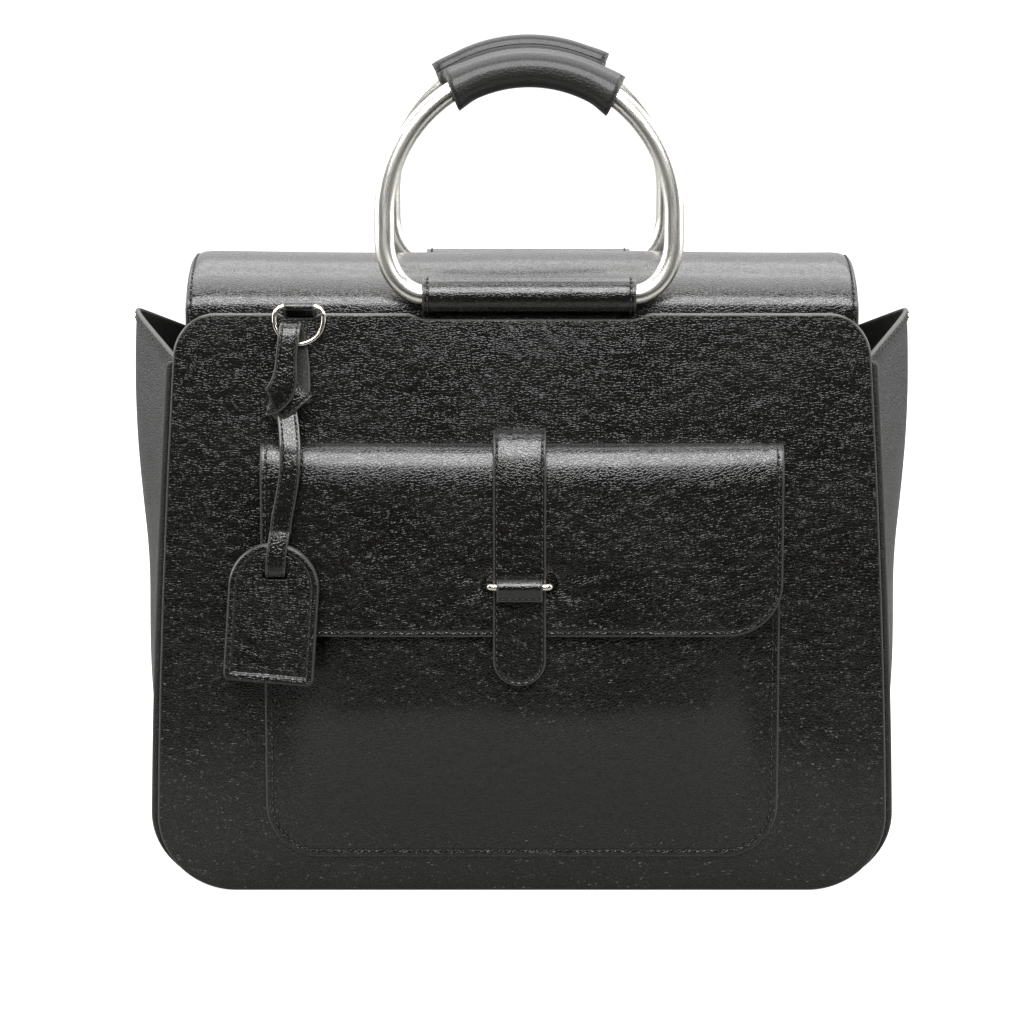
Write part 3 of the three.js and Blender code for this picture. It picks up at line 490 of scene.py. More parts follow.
def gusset_surface(u, v):
    """The strip in its own pattern, u along it and v towards the front: bowed between its seams, and turned
    outwards past them round a small bend."""
    along = np.abs(u)
    beyond = along - route_s[-1]
    x = np.interp(along, route_s, route_x)
    z = np.interp(along, route_s, route_z) + np.maximum(beyond, 0)
    turn = np.interp(along, route_s, route_turn)
    upright = ease(turn, 0.3, np.pi / 2)
    past = np.abs(v) - strip_half
    out_turn = (past + np.sqrt(past**2 + flange_bend**2)) / 2
    share = np.clip((strip_half + past - out_turn) / strip_half, 0, 1)
    softness = round_softness + (top_softness - round_softness) * ease(z, 0, seam_top)
    flat = np.minimum((1 - share) / 0.08, 1)
    bow = flat + (ridge(share, softness) - flat) * upright
    inset = bottom_inset + (flange_inset - bottom_inset) * upright
    reach = wing_reach * np.interp(z / seam_top, wing_heights, wing_shares)
    spread = inset - flange_clearance + (flange_overhang + flange_clearance) * upright
    flange = out_turn * spread / flange_width
    out = -inset + (reach + inset) * bow + flange
    climb = (z - panel_bottom_radius) / (seam_top - panel_bottom_radius)
    rise = wing_rise * ease(climb, wing_rise_start, 1)
    depth = half_depth(z) - panel_thickness - seam_gap - gusset_thickness
    side = np.where(u < 0, -1, 1)
    sag = gusset_sag * np.sin(70 * z + 2) * np.cos(np.pi * share / 2) * upright
    return np.stack([
        side * (x + (out + sag) * np.sin(turn)),
        middle_y - np.sign(v) * depth * share,
        z - out * np.cos(turn) + rise * ridge(share, 0.12),
    ], -1)


hem_width = 0.0042
hem_ply = 0.0004
strip_length = 2 * route_s[-1]
gusset_outline = rounded_outline(
    2 * (strip_half + flange_width), -strip_length / 2, strip_length / 2, 0.002, 0.002, 0.0024
)


def turned_outline(outline):
    """The same outline with its length along u: each point turned by a quarter."""

    def turned(inset):
        points = outline(inset)
        return np.stack([points[:, 1], -points[:, 0]], 1)

    return turned


def hem_relief(u, v):
    """The folded hem at the wing's top: a ply thicker, with a pressed line along its lower edge and a groove
    between its two rows of stitches."""
    below = route_s[-1] - np.abs(u)
    pressed = 0.0003 * np.exp(-(((below - hem_width) / 0.0004) ** 2))
    groove = 0.00022 * np.exp(-(((below - 0.0022) / 0.0005) ** 2))
    return hem_ply * (1 - ease(below, hem_width - 0.0004, hem_width + 0.0002)) - pressed - groove


side_leather = leather_material("gusset leather", black, rough=0.4, pit_depth=0.1, turn=84, coat=0)
gusset = leather_shell(
    "gusset_leather", turned_outline(gusset_outline), gusset_surface, gusset_thickness, side_leather,
    relief=hem_relief, steps=26, deep=0.008,
)
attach(gusset, "root")
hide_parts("gusset")
seam_line = strip_half - 0.0016
long_run = np.linspace(-route_s[-1] + 0.003, route_s[-1] - 0.003, 400)
hem_run = np.linspace(-strip_half + 0.003, strip_half - 0.003, 120)
gusset_runs = [np.stack([long_run, 0 * long_run + side * seam_line], 1) for side in (-1, 1)]
for side in (-1, 1):
    for below in (0.0014, 0.0034):
        gusset_runs.append(np.stack([0 * hem_run + side * (route_s[-1] - below), hem_run], 1))
gusset_threads = sewn("gusset_stitches", gusset_surface, gusset_runs, black_thread, height=0.0004)
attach(gusset_threads, "root")

# Top flap: one leather sheet sewn inside the back panel, rolled over the mouth and tucked inside the front.
# Black pebbled leather, stitched along both ends, whose corners drop a little.
flap_width = 0.268
flap_rise = 0.018
flap_tuck = 0.048
flap_sewn = 0.034
flap_thickness = 0.0022
flap_stand_back = 0.0038
flap_half_depth = depth_at_top / 2 - panel_thickness - flap_stand_back
flap_end_drop = 0.003
flap_end_run = 0.007
flap_wave = 0.0004


def side_runs(edge, low, high, count):
    """Two straight runs of points along v from low to high, one at each side's edge."""
    line = np.linspace(low, high, count)
    return [np.stack([0 * line + side * edge, line], 1) for side in (-1, 1)]


def quarter_lengths(across, upward):
    """The distance round a quarter ellipse and the turn reached there, as two matching rows."""
    turn = np.linspace(0, np.pi / 2, 200)
    speed = np.hypot(across * np.sin(turn), upward * np.cos(turn))
    return np.concatenate([[0], np.cumsum((speed[1:] + speed[:-1]) / 2 * np.diff(turn))]), turn


roll_length, roll_turn = quarter_lengths(flap_half_depth, flap_rise)


def top_flap_surface(u, v):
    """Straight up inside the front, round a half ellipse over the mouth and straight down at the back."""
    rolled = np.clip(v - panel_height, 0, 2 * roll_length[-1])
    first = np.interp(np.minimum(rolled, roll_length[-1]), roll_length, roll_turn)
    left = np.minimum(2 * roll_length[-1] - rolled, roll_length[-1])
    second = np.interp(left, roll_length, roll_turn)
    turn = np.where(rolled <= roll_length[-1], first, np.pi - second)
    below = np.minimum(v - panel_height, 0) - np.maximum(v - panel_height - 2 * roll_length[-1], 0)
    share = np.maximum((np.abs(u) - flap_width / 2 + flap_end_run) / flap_end_run, 0)
    bend = np.sin(turn)
    wave = flap_wave * np.sin(38 * u + 0.6) * bend
    z = panel_height + flap_rise * bend + below - flap_end_drop * bend * share**2 + wave
    return np.stack([u, middle_y - flap_half_depth * np.cos(turn), z], -1)


flap_outline = rounded_outline(
    flap_width, panel_height - flap_tuck, panel_height + 2 * roll_length[-1] + flap_sewn, 0.004, 0.004, 0.0018
)
flap_seam = 0.0019
flap_leather = leather_material("flap leather", black, turn=8)
top_flap = leather_shell(
    "top_flap_leather", flap_outline, top_flap_surface, flap_thickness, flap_leather, seam=flap_seam, steps=30
)
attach(top_flap, "root")
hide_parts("top_flap")
flap_sewn_low = panel_height - 0.03
flap_sewn_high = panel_height + 2 * roll_length[-1] + 0.02
flap_runs = side_runs(flap_width / 2 - flap_seam, flap_sewn_low, flap_sewn_high, 200)
flap_threads = sewn("top_flap_stitches", top_flap_surface, flap_runs, black_thread)
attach(flap_threads, "root")

# Handle rings: two D-shaped tubes of brushed satin metal, which stand on their straight bars and lean in.
# Each is one closed tube, swept round the D.
ring_axis_z = 0.2432
ring_axis_depth = 0.0438
ring_lean = np.radians(7)
bar_half = 0.041
ring_radius = 0.0572
ring_corner_rise = 0.0215
ring_side = 0.0103
tube_radius = 0.004
handles = {"front_handle": 1, "back_handle": -1}


def handle_stand(facing):
    """The middle of a handle's bar and the ring's upward direction, which leans in to the bag's middle."""
    place = (handle_x, middle_y - facing * ring_axis_depth, ring_axis_z)
    return place, (0, facing * np.sin(ring_lean), np.cos(ring_lean))


def d_path(bar, radius, corner_rise, side, count):
    """A D that stands on its bar: elliptical corners, straight sides and a half circle, in even steps."""
    turn = np.linspace(0, np.pi / 2, 50)
    corner = np.stack([bar + (radius - bar) * np.sin(turn), corner_rise * (1 - np.cos(turn))], 1)
    turn = np.linspace(0, np.pi, 160)
    arch = np.stack([radius * np.cos(turn), corner_rise + side + radius * np.sin(turn)], 1)
    points = np.concatenate([corner, arch, corner[::-1] * [-1, 1], corner[:1]])
    run = np.concatenate([[0], np.cumsum(np.hypot(*np.diff(points, axis=0).T))])
    at = np.linspace(0, run[-1], count, endpoint=False)
    return np.stack([np.interp(at, run, points[:, 0]), np.interp(at, run, points[:, 1])], 1)


def swept_ring(name, path, radius, place, upward, material, sides=28):
    """A closed round tube along a closed flat path, which lies in the plane of X and the upward direction."""
    outward = np.cross([1, 0, 0], upward)
    ahead = np.roll(path, -1, 0) - np.roll(path, 1, 0)
    ahead /= np.linalg.norm(ahead, axis=1, keepdims=True)
    flat = np.array([[1, 0, 0], upward])
    middle = np.array(place) + path @ flat
    side = np.stack([ahead[:, 1], -ahead[:, 0]], 1) @ flat
    turn = np.linspace(0, 2 * np.pi, sides, endpoint=False)
    ring = side[:, None] * np.cos(turn)[:, None] + outward * np.sin(turn)[:, None]
    step = np.linalg.norm(np.roll(path, -1, 0) - path, axis=1).mean()
    run = np.broadcast_to(step * np.arange(len(path))[:, None], ring.shape[:2])
    pattern = np.stack([run, np.broadcast_to(radius * turn, ring.shape[:2])], -1)
    return build_mesh(name, middle[:, None] + radius * ring, material, along=True, pattern=pattern)


def brushed_group():
    """Metal brushed along the tube: fine long lines, and their product with a slow change as the wear."""
    tree = bpy.data.node_groups.new("brushed lines", "ShaderNodeTree")
    tree.interface.new_socket("Pattern", in_out="INPUT", socket_type="NodeSocketVector")
    for name in ("Lines", "Wear"):
        tree.interface.new_socket(name, in_out="OUTPUT", socket_type="NodeSocketFloat")
    pattern = add_node(tree, "NodeGroupInput").outputs["Pattern"]
    fine = add_node(tree, "ShaderNodeMapping", {"Vector": pattern, "Scale": (60, 2600, 1)})
    lines = add_node(tree, "ShaderNodeTexNoise", {"Vector": fine.outputs[0], "Scale": 1.0, "Detail": 3.0})
    broad = add_node(tree, "ShaderNodeMapping", {"Vector": pattern, "Scale": (28, 190, 1)})
    slow = add_node(tree, "ShaderNodeTexNoise", {"Vector": broad.outputs[0], "Scale": 1.0, "Detail": 2.0})
    wear = maths(tree, "MULTIPLY", lines.outputs[0], slow.outputs[0])
    add_node(tree, "NodeGroupOutput", {"Lines": lines.outputs[0], "Wear": wear})
    return tree


brushed_lines = brushed_group()


def metal_material(name, colour, dull, bright, streak):
    """Metal with brushed lines, whose roughness goes from bright to dull with their wear."""
    material = bpy.data.materials.new(name)
    material.use_nodes = True
    tree = material.node_tree
    shader = tree.nodes["Principled BSDF"]
    pattern = add_node(tree, "ShaderNodeUVMap", uv_map="pattern")
    brushed = add_node(tree, "ShaderNodeGroup", {"Pattern": pattern.outputs[0]}, node_tree=brushed_lines)
    lines = brushed.outputs["Lines"]
    limits = {"From Min": 0.12, "From Max": 0.42, "To Min": bright, "To Max": dull}
    rough = add_node(tree, "ShaderNodeMapRange", {"Value": brushed.outputs["Wear"], **limits})
    tree.links.new(rough.outputs[0], shader.inputs["Roughness"])
    bump = add_node(tree, "ShaderNodeBump", {"Height": lines, "Distance": 0.0001, "Strength": streak})
    tree.links.new(bump.outputs[0], shader.inputs["Normal"])
    shader.inputs["Base Color"].default_value = (*colour, 1)
    shader.inputs["Metallic"].default_value = 1.0
    return material


satin_metal = metal_material("satin metal", (0.86, 0.84, 0.785), 0.36, 0.24, 0.2)
ring_path = d_path(bar_half, ring_radius, ring_corner_rise, ring_side, 420)
for title, facing in handles.items():
    place, upward = handle_stand(facing)
    ring = swept_ring(title + "_tube", ring_path, tube_radius, place, upward, satin_metal)
    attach(ring, title)
    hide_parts(title + "_ring")

# Handle grips: a piece of the same leather wrapped tight round the top of each ring.
# Its long edges meet in a raised seam on the ring's outer side, and its ends are cut and painted.
grip_half = 0.033
grip_radius = 0.0057
grip_flare = 0.0008
grip_shifts = {"front_handle": 0.002, "back_handle": -0.0034}
grip_seams = {"front_handle": (-0.32, 0.0011, 0.2), "back_handle": (0.15, 0.0015, 0.24)}
grip_slant = 0.0015
grip_play = 0.0001


def grip_surface(place, upward, shift, seam):
    """Round the tube at the ring's arch, v along the arch from right to left and u round the leather."""
    outward = np.cross([1, 0, 0], upward)
    centre = np.array(place) + np.array(upward) * (ring_corner_rise + ring_side)
    seam_turn, seam_height, seam_spread = seam

    def surface(u, v):
        turn = u / grip_radius
        wrapped = (turn - seam_turn + np.pi) % (2 * np.pi) - np.pi
        along = v - grip_slant * (1 - np.cos(turn)) * np.clip(-v / grip_half, -1, 1)
        angle = np.pi / 2 + (along - shift) / ring_radius
        ends = ease(np.abs(v) / grip_half, 0.72, 1)
        raised = seam_height * np.exp(-((np.abs(wrapped) / seam_spread) ** 3))
        groove = 0.0003 * np.exp(-(((np.abs(wrapped) - 2.1 * seam_spread) / 0.09) ** 2))
        radius = grip_radius + grip_flare * ends + raised - groove
        radial = np.cos(angle)[..., None] * np.array([1, 0, 0])
        radial = radial + np.sin(angle)[..., None] * np.array(upward)
        across = radial * np.cos(turn)[..., None] + outward * np.sin(turn)[..., None]
        return centre + radial * ring_radius + across * radius[..., None]

    return surface


def wrapped_shell(name, surface, half, around, inner, material):
    """A closed leather sleeve: rows from one end over the outside to the other, round each painted end and
    back through the bore. Each row runs once round the surface's u."""
    outside = np.concatenate([[-half, -half + 0.0004], np.linspace(-half + 0.001, half - 0.001, 90)])
    outside = np.concatenate([outside, [half - 0.0004, half]])
    inside = np.linspace(half, -half, 30)
    along = np.concatenate([outside, inside])[:, None]
    lift = np.concatenate([[-0.0004, -0.0001], 0 * outside[2:-2], [-0.0001, -0.0004], 0 * inside - inner])
    deep = np.concatenate([0 * outside, 0 * inside + 1])[:, None]
    u = np.linspace(0, around, 72, endpoint=False)[None]
    points = lift_off(surface, u + 0 * along, along + 0 * u, lift[:, None] + 0 * u)
    pattern = np.stack([along + 0 * u, u + 0 * along], -1)
    values = {"from_edge": (half - np.abs(along)) * 1000 + 0.4, "inside": deep}
    return build_mesh(name, points, material, along=True, pattern=pattern, values=values)


grip_leather = leather_material("grip leather", black, crease=0.14)
for title, facing in handles.items():
    place, upward = handle_stand(facing)
    surface = grip_surface(place, upward, grip_shifts[title], grip_seams[title])
    around = 2 * np.pi * grip_radius
    inner = grip_radius - tube_radius - grip_play
    grip = wrapped_shell(title + "_grip_leather", surface, grip_half, around, inner, grip_leather)
    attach(grip, title)
    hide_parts(title + "_grip")

# Handle sleeves: a leather strip folded round each ring's bar, both ends of it sewn behind the panel's edge.
# The same leather as the panels, with a pressed and stitched line at each end.
sleeve_radius = 0.0068
sleeve_ply = 0.0011
sleeve_tail_back = 0.0039
sleeve_tail_front = 0.0017
sleeve_tail_low = -0.0232
sleeve_seam = 0.0021


def smoothed(rows, window):
    """Rows of values averaged over a window with an odd count of them, twice. Their ends stay in place."""
    for _ in range(2):
        padded = np.pad(rows, ((0, 0), (window // 2, window // 2)), mode="reflect", reflect_type="odd")
        rows = np.stack([np.convolve(row, np.ones(window) / window, "valid") for row in padded])
    return rows


def folded_sheet(profile, place, facing, blur):
    """A sheet straight along X whose section follows the profile's points (behind, up), evenly resampled and
    smoothed over the blur. It gives the surface and the section's length."""
    profile = np.array(profile, float)
    run = np.concatenate([[0], np.cumsum(np.hypot(*np.diff(profile, axis=0).T))])
    at = np.arange(0, run[-1], 0.0001)
    window = max(int(blur / 0.0001), 1) * 2 + 1
    behind, up = smoothed(np.stack([np.interp(at, run, profile[:, k]) for k in range(2)]), window)
    length = np.concatenate([[0], np.cumsum(np.hypot(np.diff(behind), np.diff(up)))])

    def surface(u, v):
        x = place[0] + facing * u
        y = place[1] + facing * np.interp(v, length, behind)
        return np.stack([x, y + 0 * x, place[2] + np.interp(v, length, up) + 0 * x], -1)

    return surface, length[-1]


def round_points(radius, start, end, count=24):
    """Points of a circle about the bar, from one angle to another, 0 being behind and 90 straight up."""
    turn = np.radians(np.linspace(start, end, count))
    return [(radius * np.cos(t), radius * np.sin(t)) for t in turn]


sleeve_profile = [(sleeve_tail_front, sleeve_tail_low), (sleeve_tail_front, -0.0084)]
sleeve_profile += round_points(sleeve_radius, -88, -325, 60)
sleeve_profile += [(0.0046, -0.0062), (sleeve_tail_back, -0.0086), (sleeve_tail_back, sleeve_tail_low)]
sleeve_leather = leather_material("sleeve leather", black, pit_depth=0.05, crease=0.08)
for title, facing in handles.items():
    place, _ = handle_stand(facing)
    surface, length = folded_sheet(sleeve_profile, place, facing, 0.0006)
    outline = rounded_outline(2 * sleeve_half, 0, length, 0.0006, 0.0006, 0.0008)
    sleeve = leather_shell(
        title + "_sleeve_leather", outline, surface, sleeve_ply, sleeve_leather, seam=sleeve_seam, steps=30
    )
    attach(sleeve, "root")
    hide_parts(title + "_sleeve")
    runs = side_runs(sleeve_half - sleeve_seam, 0.001, length - 0.001, 160)
    threads = sewn(title + "_sleeve_stitches", surface, runs, black_thread, pitch=0.0026)
    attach(threads, "root")

# Pocket body: a leather pocket sewn on the front panel along its sides and bottom, full in its middle.
# The same pebbled leather as the panel, with its mouth open upwards under the pocket flap.
pocket_width = 0.207
pocket_bottom = panel_height - 0.221
pocket_mouth = panel_height - 0.072
pocket_radius = 0.022
pocket_thickness = 0.0018
pocket_fullness = 0.007
pocket_border = 0.006
pocket_side_run = 0.030
pocket_bottom_run = 0.060
pocket_seam = 0.0029


def pocket_swell(x, z, side_run):
    """0 at the pocket's sewn border and 1 in its middle, easing in from the sides and from the bottom."""
    side = pocket_width / 2 - pocket_border - np.abs(x)
    return ease(side, 0, side_run) * ease(z - pocket_bottom - pocket_border, 0, pocket_bottom_run)


def on_front(x, z, stand_off):
    """A point that stands off the front panel's face."""
    return np.stack([x, middle_y - panel_face(x, z) - stand_off, z + 0 * x], -1)


def pocket_surface(u, v):
    """The pocket's outer face: its thickness off the panel, with the swell and two soft slack folds."""
    slack = 0.0005 * np.sin(60 * u + 26 * v) * pocket_swell(u, v, pocket_side_run)
    full = pocket_fullness * pocket_swell(u, v, pocket_side_run)
    return on_front(u, v, pocket_thickness + seam_gap + full + slack)


pocket_outline = rounded_outline(pocket_width, pocket_bottom, pocket_mouth, pocket_radius, 0.001, 0.0016)
pocket_leather = leather_material("pocket leather", black, turn=-18)
pocket = leather_shell(
    "pocket_body_leather", pocket_outline, pocket_surface, pocket_thickness, pocket_leather, seam=pocket_seam
)
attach(pocket, "root")
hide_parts("pocket_body")
pocket_run = seam_run(pocket_outline, pocket_seam, lambda u, v: v < pocket_mouth - 0.004)
pocket_threads = sewn("pocket_stitches", pocket_surface, [pocket_run], black_thread)
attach(pocket_threads, "root")

# Pocket flap: a leather flap fixed to the panel along its top, rolled forwards and down over the pocket.
# Stitched along its sides and bottom, with two oval holes for the closure's staple, which pull it in.
cover_width = 0.208
cover_drop = 0.051
cover_top = panel_height - cover_drop
cover_bottom = panel_height - 0.1275
cover_radius = 0.021
cover_thickness = 0.0018
cover_lift = 0.0016
cover_roll = 0.017
cover_seam = 0.0022
cover_ease = 0.94
cover_slack = 0.3
cover_sewn = 0.0045
roll_back_share = 0.34
closure_x = -0.001
staple_z = panel_height - 0.106
strap_width = 0.0212
wire_radius = 0.0014
staple_half = strap_width / 2 + seam_gap + wire_radius
hole_width = 0.006
hole_height = 0.009


def cover_front(x, z):
    """How far the flap's outer face stands off the panel below its roll: it follows the pocket's swell by
    the slack's share, on the pocket's thickness, two gaps, its own thickness and its lift."""
    swell = 1 - cover_slack * (1 - pocket_swell(x * cover_ease, z, pocket_side_run))
    return pocket_thickness + 2 * seam_gap + pocket_fullness * swell + cover_thickness + cover_lift


def hanging_roll(front, top, roll_depth, back_drop):
    """A surface that hangs from a roll: straight below it, a quarter ellipse up to its crest and another
    down behind to the panel. front(x, z) is its stand-off below the roll."""
    nominal = float(front(0.03, top - roll_depth))
    rise, rise_turn = quarter_lengths(nominal * (1 - roll_back_share), roll_depth)
    fall, fall_turn = quarter_lengths(nominal * roll_back_share, back_drop)
    start = top - roll_depth
    crest = start + rise[-1]
    end = crest + fall[-1]

    def surface(u, v):
        stand = front(u, np.minimum(v, start))
        middle = seam_gap + (stand - seam_gap) * roll_back_share
        turn = np.interp(np.clip(v - start, 0, rise[-1]), rise, rise_turn)
        back = np.interp(np.clip(end - v, 0, fall[-1]), fall, fall_turn)
        ahead = v <= crest
        off = np.where(
            ahead, middle + (stand - middle) * np.cos(turn), middle - (middle - seam_gap) * np.cos(back)
        )
        z = np.where(ahead, start + roll_depth * np.sin(turn), top - back_drop * (1 - np.sin(back)))
        z = z + np.minimum(v - start, 0) - np.maximum(v - end, 0)
        return on_front(u, z, off)

    return surface, end


cover_surface, cover_end = hanging_roll(cover_front, cover_top, cover_roll, cover_roll / 2)
cover_outline = rounded_outline(
    cover_width, cover_bottom, cover_end + cover_sewn, cover_radius, 0.001, 0.0016
)


def cover_relief(u, v):
    """The closure pulls the flap in: a dent round each hole, and shallow creases that run out from it."""
    dent = 0
    for side in (-1, 1):
        x = u - closure_x - side * staple_half
        z = v - staple_z
        away = np.hypot(x, z)
        reach = np.exp(-(((away - 0.009) / 0.005) ** 2))
        spokes = 0.00022 * np.cos(7 * np.arctan2(z, x * side) + 0.6) * reach
        dent = dent - 0.0011 * np.exp(-((away / 0.0062) ** 2)) + spokes
    return dent


def cut_with(piece, cutters):
    """Cuts closed meshes out of a piece, applies the result and deletes the cutters."""
    for k, cutter in enumerate(cutters):
        modifier = piece.modifiers.new(f"cut {k}", "BOOLEAN")
        modifier.operation = "DIFFERENCE"
        modifier.solver = "EXACT"
        modifier.object = cutter
    bpy.context.view_layer.update()
    cut = bpy.data.meshes.new_from_object(piece.evaluated_get(bpy.context.evaluated_depsgraph_get()))
    piece.modifiers.clear()
    piece.data = cut
    for cutter in cutters:
        bpy.data.objects.remove(cutter)


def oval_cutter(x, z, width, height, front, back, corner=1.0):
    """An oval bar along Y from front to back, closed at both ends. A corner share under 1 squares the oval:
    its cosine and sine are raised to that power."""
    turn = np.linspace(0, 2 * np.pi, 36, endpoint=False)
    across, upward = np.cos(turn), np.sin(turn)
    across = np.sign(across) * np.abs(across) ** corner
    upward = np.sign(upward) * np.abs(upward) ** corner
    oval = np.stack([x + width / 2 * across, 0 * turn, z + height / 2 * upward], 1)
    rings = [np.tile([[x, front, z]], (36, 1)), oval + [0, front, 0], oval + [0, back, 0]]
    rings.append(np.tile([[x, back, z]], (36, 1)))
    return build_mesh("cutter", np.stack(rings), panel_leather)


pocket_cover = leather_shell(
    "pocket_flap_leather", cover_outline, cover_surface, cover_thickness, pocket_leather, seam=cover_seam,
    relief=cover_relief, steps=40,
)
cut_with(pocket_cover, [
    oval_cutter(closure_x + side * staple_half, staple_z, hole_width, hole_height, middle_y - 0.08, middle_y)
    for side in (-1, 1)
])
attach(pocket_cover, "root")
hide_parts("pocket_flap")
cover_run = seam_run(cover_outline, cover_seam, lambda u, v: v < cover_top - 0.002)
cover_threads = sewn("pocket_flap_stitches", cover_surface, [cover_run], black_thread)
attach(cover_threads, "root")

# Pocket strap: a leather strap over the flap's middle with a round tip, fixed behind the roll.
# It passes under the staple's bar and is stitched along its sides and round its tip.
strap_thickness = 0.0018
strap_drop = 0.0455
strap_top = panel_height - strap_drop
strap_tip = panel_height - 0.147
strap_roll = cover_roll + cover_drop - strap_drop
strap_seam = 0.0016


def strap_front(x, z):
    """How far the strap's outer face stands off the panel: on the flap, and straight below its edge."""
    return cover_front(closure_x + 0 * x, np.maximum(z, cover_bottom)) + seam_gap + strap_thickness


strap_roll_surface, strap_end = hanging_roll(strap_front, strap_top, strap_roll, 0.004)


def strap_surface(u, v):
    """The strap's roll, centred on the closure."""
    return strap_roll_surface(u + closure_x, v)


strap_outline = rounded_outline(strap_width, strap_tip, strap_end, strap_width / 2 - 0.0002, 0.0006, 0.0011)
strap_leather = leather_material("strap leather", black, turn=28)
strap = leather_shell(
    "pocket_strap_leather", strap_outline, strap_surface, strap_thickness, strap_leather, seam=strap_seam,
    steps=8,
)
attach(strap, "root")
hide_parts("pocket_strap")
strap_run = seam_run(strap_outline, strap_seam, lambda u, v: v < strap_top)
strap_threads = sewn("pocket_strap_stitches", strap_surface, [strap_run], black_thread, pitch=0.0026)
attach(strap_threads, "root")

# Closure staple: a small bridge of pale polished metal over the strap, its legs through the flap's two holes.
# One round wire with soft bends.
staple_bend = 0.0026
wrap_ply = 0.0014
wrap_radius = wire_radius + seam_gap + 0.0015
pale_metal = metal_material("pale metal", (0.83, 0.78, 0.69), 0.2, 0.1, 0.1)


def open_wire(name, points, radius, material, blur, sides=16):
    """A round wire along points joined by straight lines, evenly resampled and smoothed over the blur, with
    flat ends. Each ring lies across the path, and its first point is level with the path's middle."""
    points = np.array(points, float)
    run = np.concatenate([[0], np.cumsum(np.linalg.norm(np.diff(points, axis=0), axis=1))])
    at = np.linspace(0, run[-1], int(run[-1] / 0.0002))
    window = 2 * int(blur / 0.0002) + 1
    path = smoothed(np.stack([np.interp(at, run, points[:, k]) for k in range(3)]), window).T
    ahead = np.gradient(path, axis=0)
    ahead /= np.linalg.norm(ahead, axis=1, keepdims=True)
    upward = np.array([0, 0, 1.0])
    side = np.cross(upward, ahead)
    side /= np.linalg.norm(side, axis=1, keepdims=True)
    turn = np.linspace(0, 2 * np.pi, sides, endpoint=False)
    ring = side[:, None] * np.cos(turn)[:, None] + np.cross(ahead, side)[:, None] * np.sin(turn)[:, None]
    rows = np.concatenate([path[:1, None] + 0 * ring[:1], path[:, None] + ring * radius])
    rows = np.concatenate([rows, path[-1:, None] + 0 * ring[:1]])
    length = np.concatenate([at[:1], at, at[-1:]])[:, None]
    pattern = np.stack([length + 0 * turn, radius * turn + 0 * length], -1)
    return build_mesh(name, rows, material, pattern=pattern)


bar_stand = float(strap_front(closure_x, staple_z)) + seam_gap + wrap_radius
face_y = middle_y - float(panel_face(closure_x, staple_z))
bar_y = face_y - bar_stand
leg_y = face_y - pocket_thickness - 2 * seam_gap - pocket_fullness
staple_points = [
    (closure_x - staple_half, leg_y, staple_z),
    (closure_x - staple_half, bar_y, staple_z),
    (closure_x + staple_half, bar_y, staple_z),
    (closure_x + staple_half, leg_y, staple_z),
]
staple = open_wire("closure_staple_wire", staple_points, wire_radius, pale_metal, staple_bend * 0.62)
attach(staple, "root")
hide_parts("closure_staple")

# Staple wrap: a scrap of the same black leather on the staple's bar, smooth and thin.
# It is folded round the bar from above, and its two plies are sewn together below it.
wrap_half = 0.0092
wrap_low = -0.0058
wrap_profile = [(-0.0015, wrap_low), (-0.0017, -0.0034)] + round_points(wrap_radius, -155, -385, 40)
wrap_profile += [(0.0017, -0.0034), (0.0015, wrap_low)]
wrap_surface, wrap_length = folded_sheet(wrap_profile, (closure_x, bar_y, staple_z), 1, 0.0004)
wrap_outline = rounded_outline(2 * wrap_half, 0, wrap_length, 0.0005, 0.0005, 0.0005)
wrap_leather = leather_material("wrap leather", black, pit_depth=0.04, crease=0.08)
wrap = leather_shell(
    "staple_wrap_leather", wrap_outline, wrap_surface, wrap_ply, wrap_leather, steps=16, deep=0.004
)
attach(wrap, "root")
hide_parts("staple_wrap")
wrap_line = np.linspace(-wrap_half + 0.0012, wrap_half - 0.0012, 60)
wrap_runs = [np.stack([wrap_line, 0 * wrap_line + 0.0013], 1)]
wrap_threads = sewn("staple_wrap_stitches", wrap_surface, wrap_runs, black_thread, pitch=0.0024)
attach(wrap_threads, "root")

# D-ring: a small ring of the staple's pale polished metal, which hangs from its tab at the panel's top edge.
# One round wire bent to a D, its straight bar up, tilted out a little by the strap that it holds.
d_ring_x = -0.0882
d_ring_ahead = 0.0028
d_ring_z = panel_height + 0.003
d_ring_tilt = np.radians(12)
d_wire_radius = 0.001
d_ring_place = (d_ring_x, middle_y - float(panel_face(d_ring_x, panel_height)) - d_ring_ahead, d_ring_z)
d_ring_path = d_path(0.006, 0.00975, 0.0042, 0.0006, 200)
d_ring_down = (0, -np.sin(d_ring_tilt), -np.cos(d_ring_tilt))
d_ring = swept_ring(
    "d_ring_wire", d_ring_path, d_wire_radius, d_ring_place, d_ring_down, pale_metal, sides=20
)
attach(d_ring, "root")
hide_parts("d_ring")

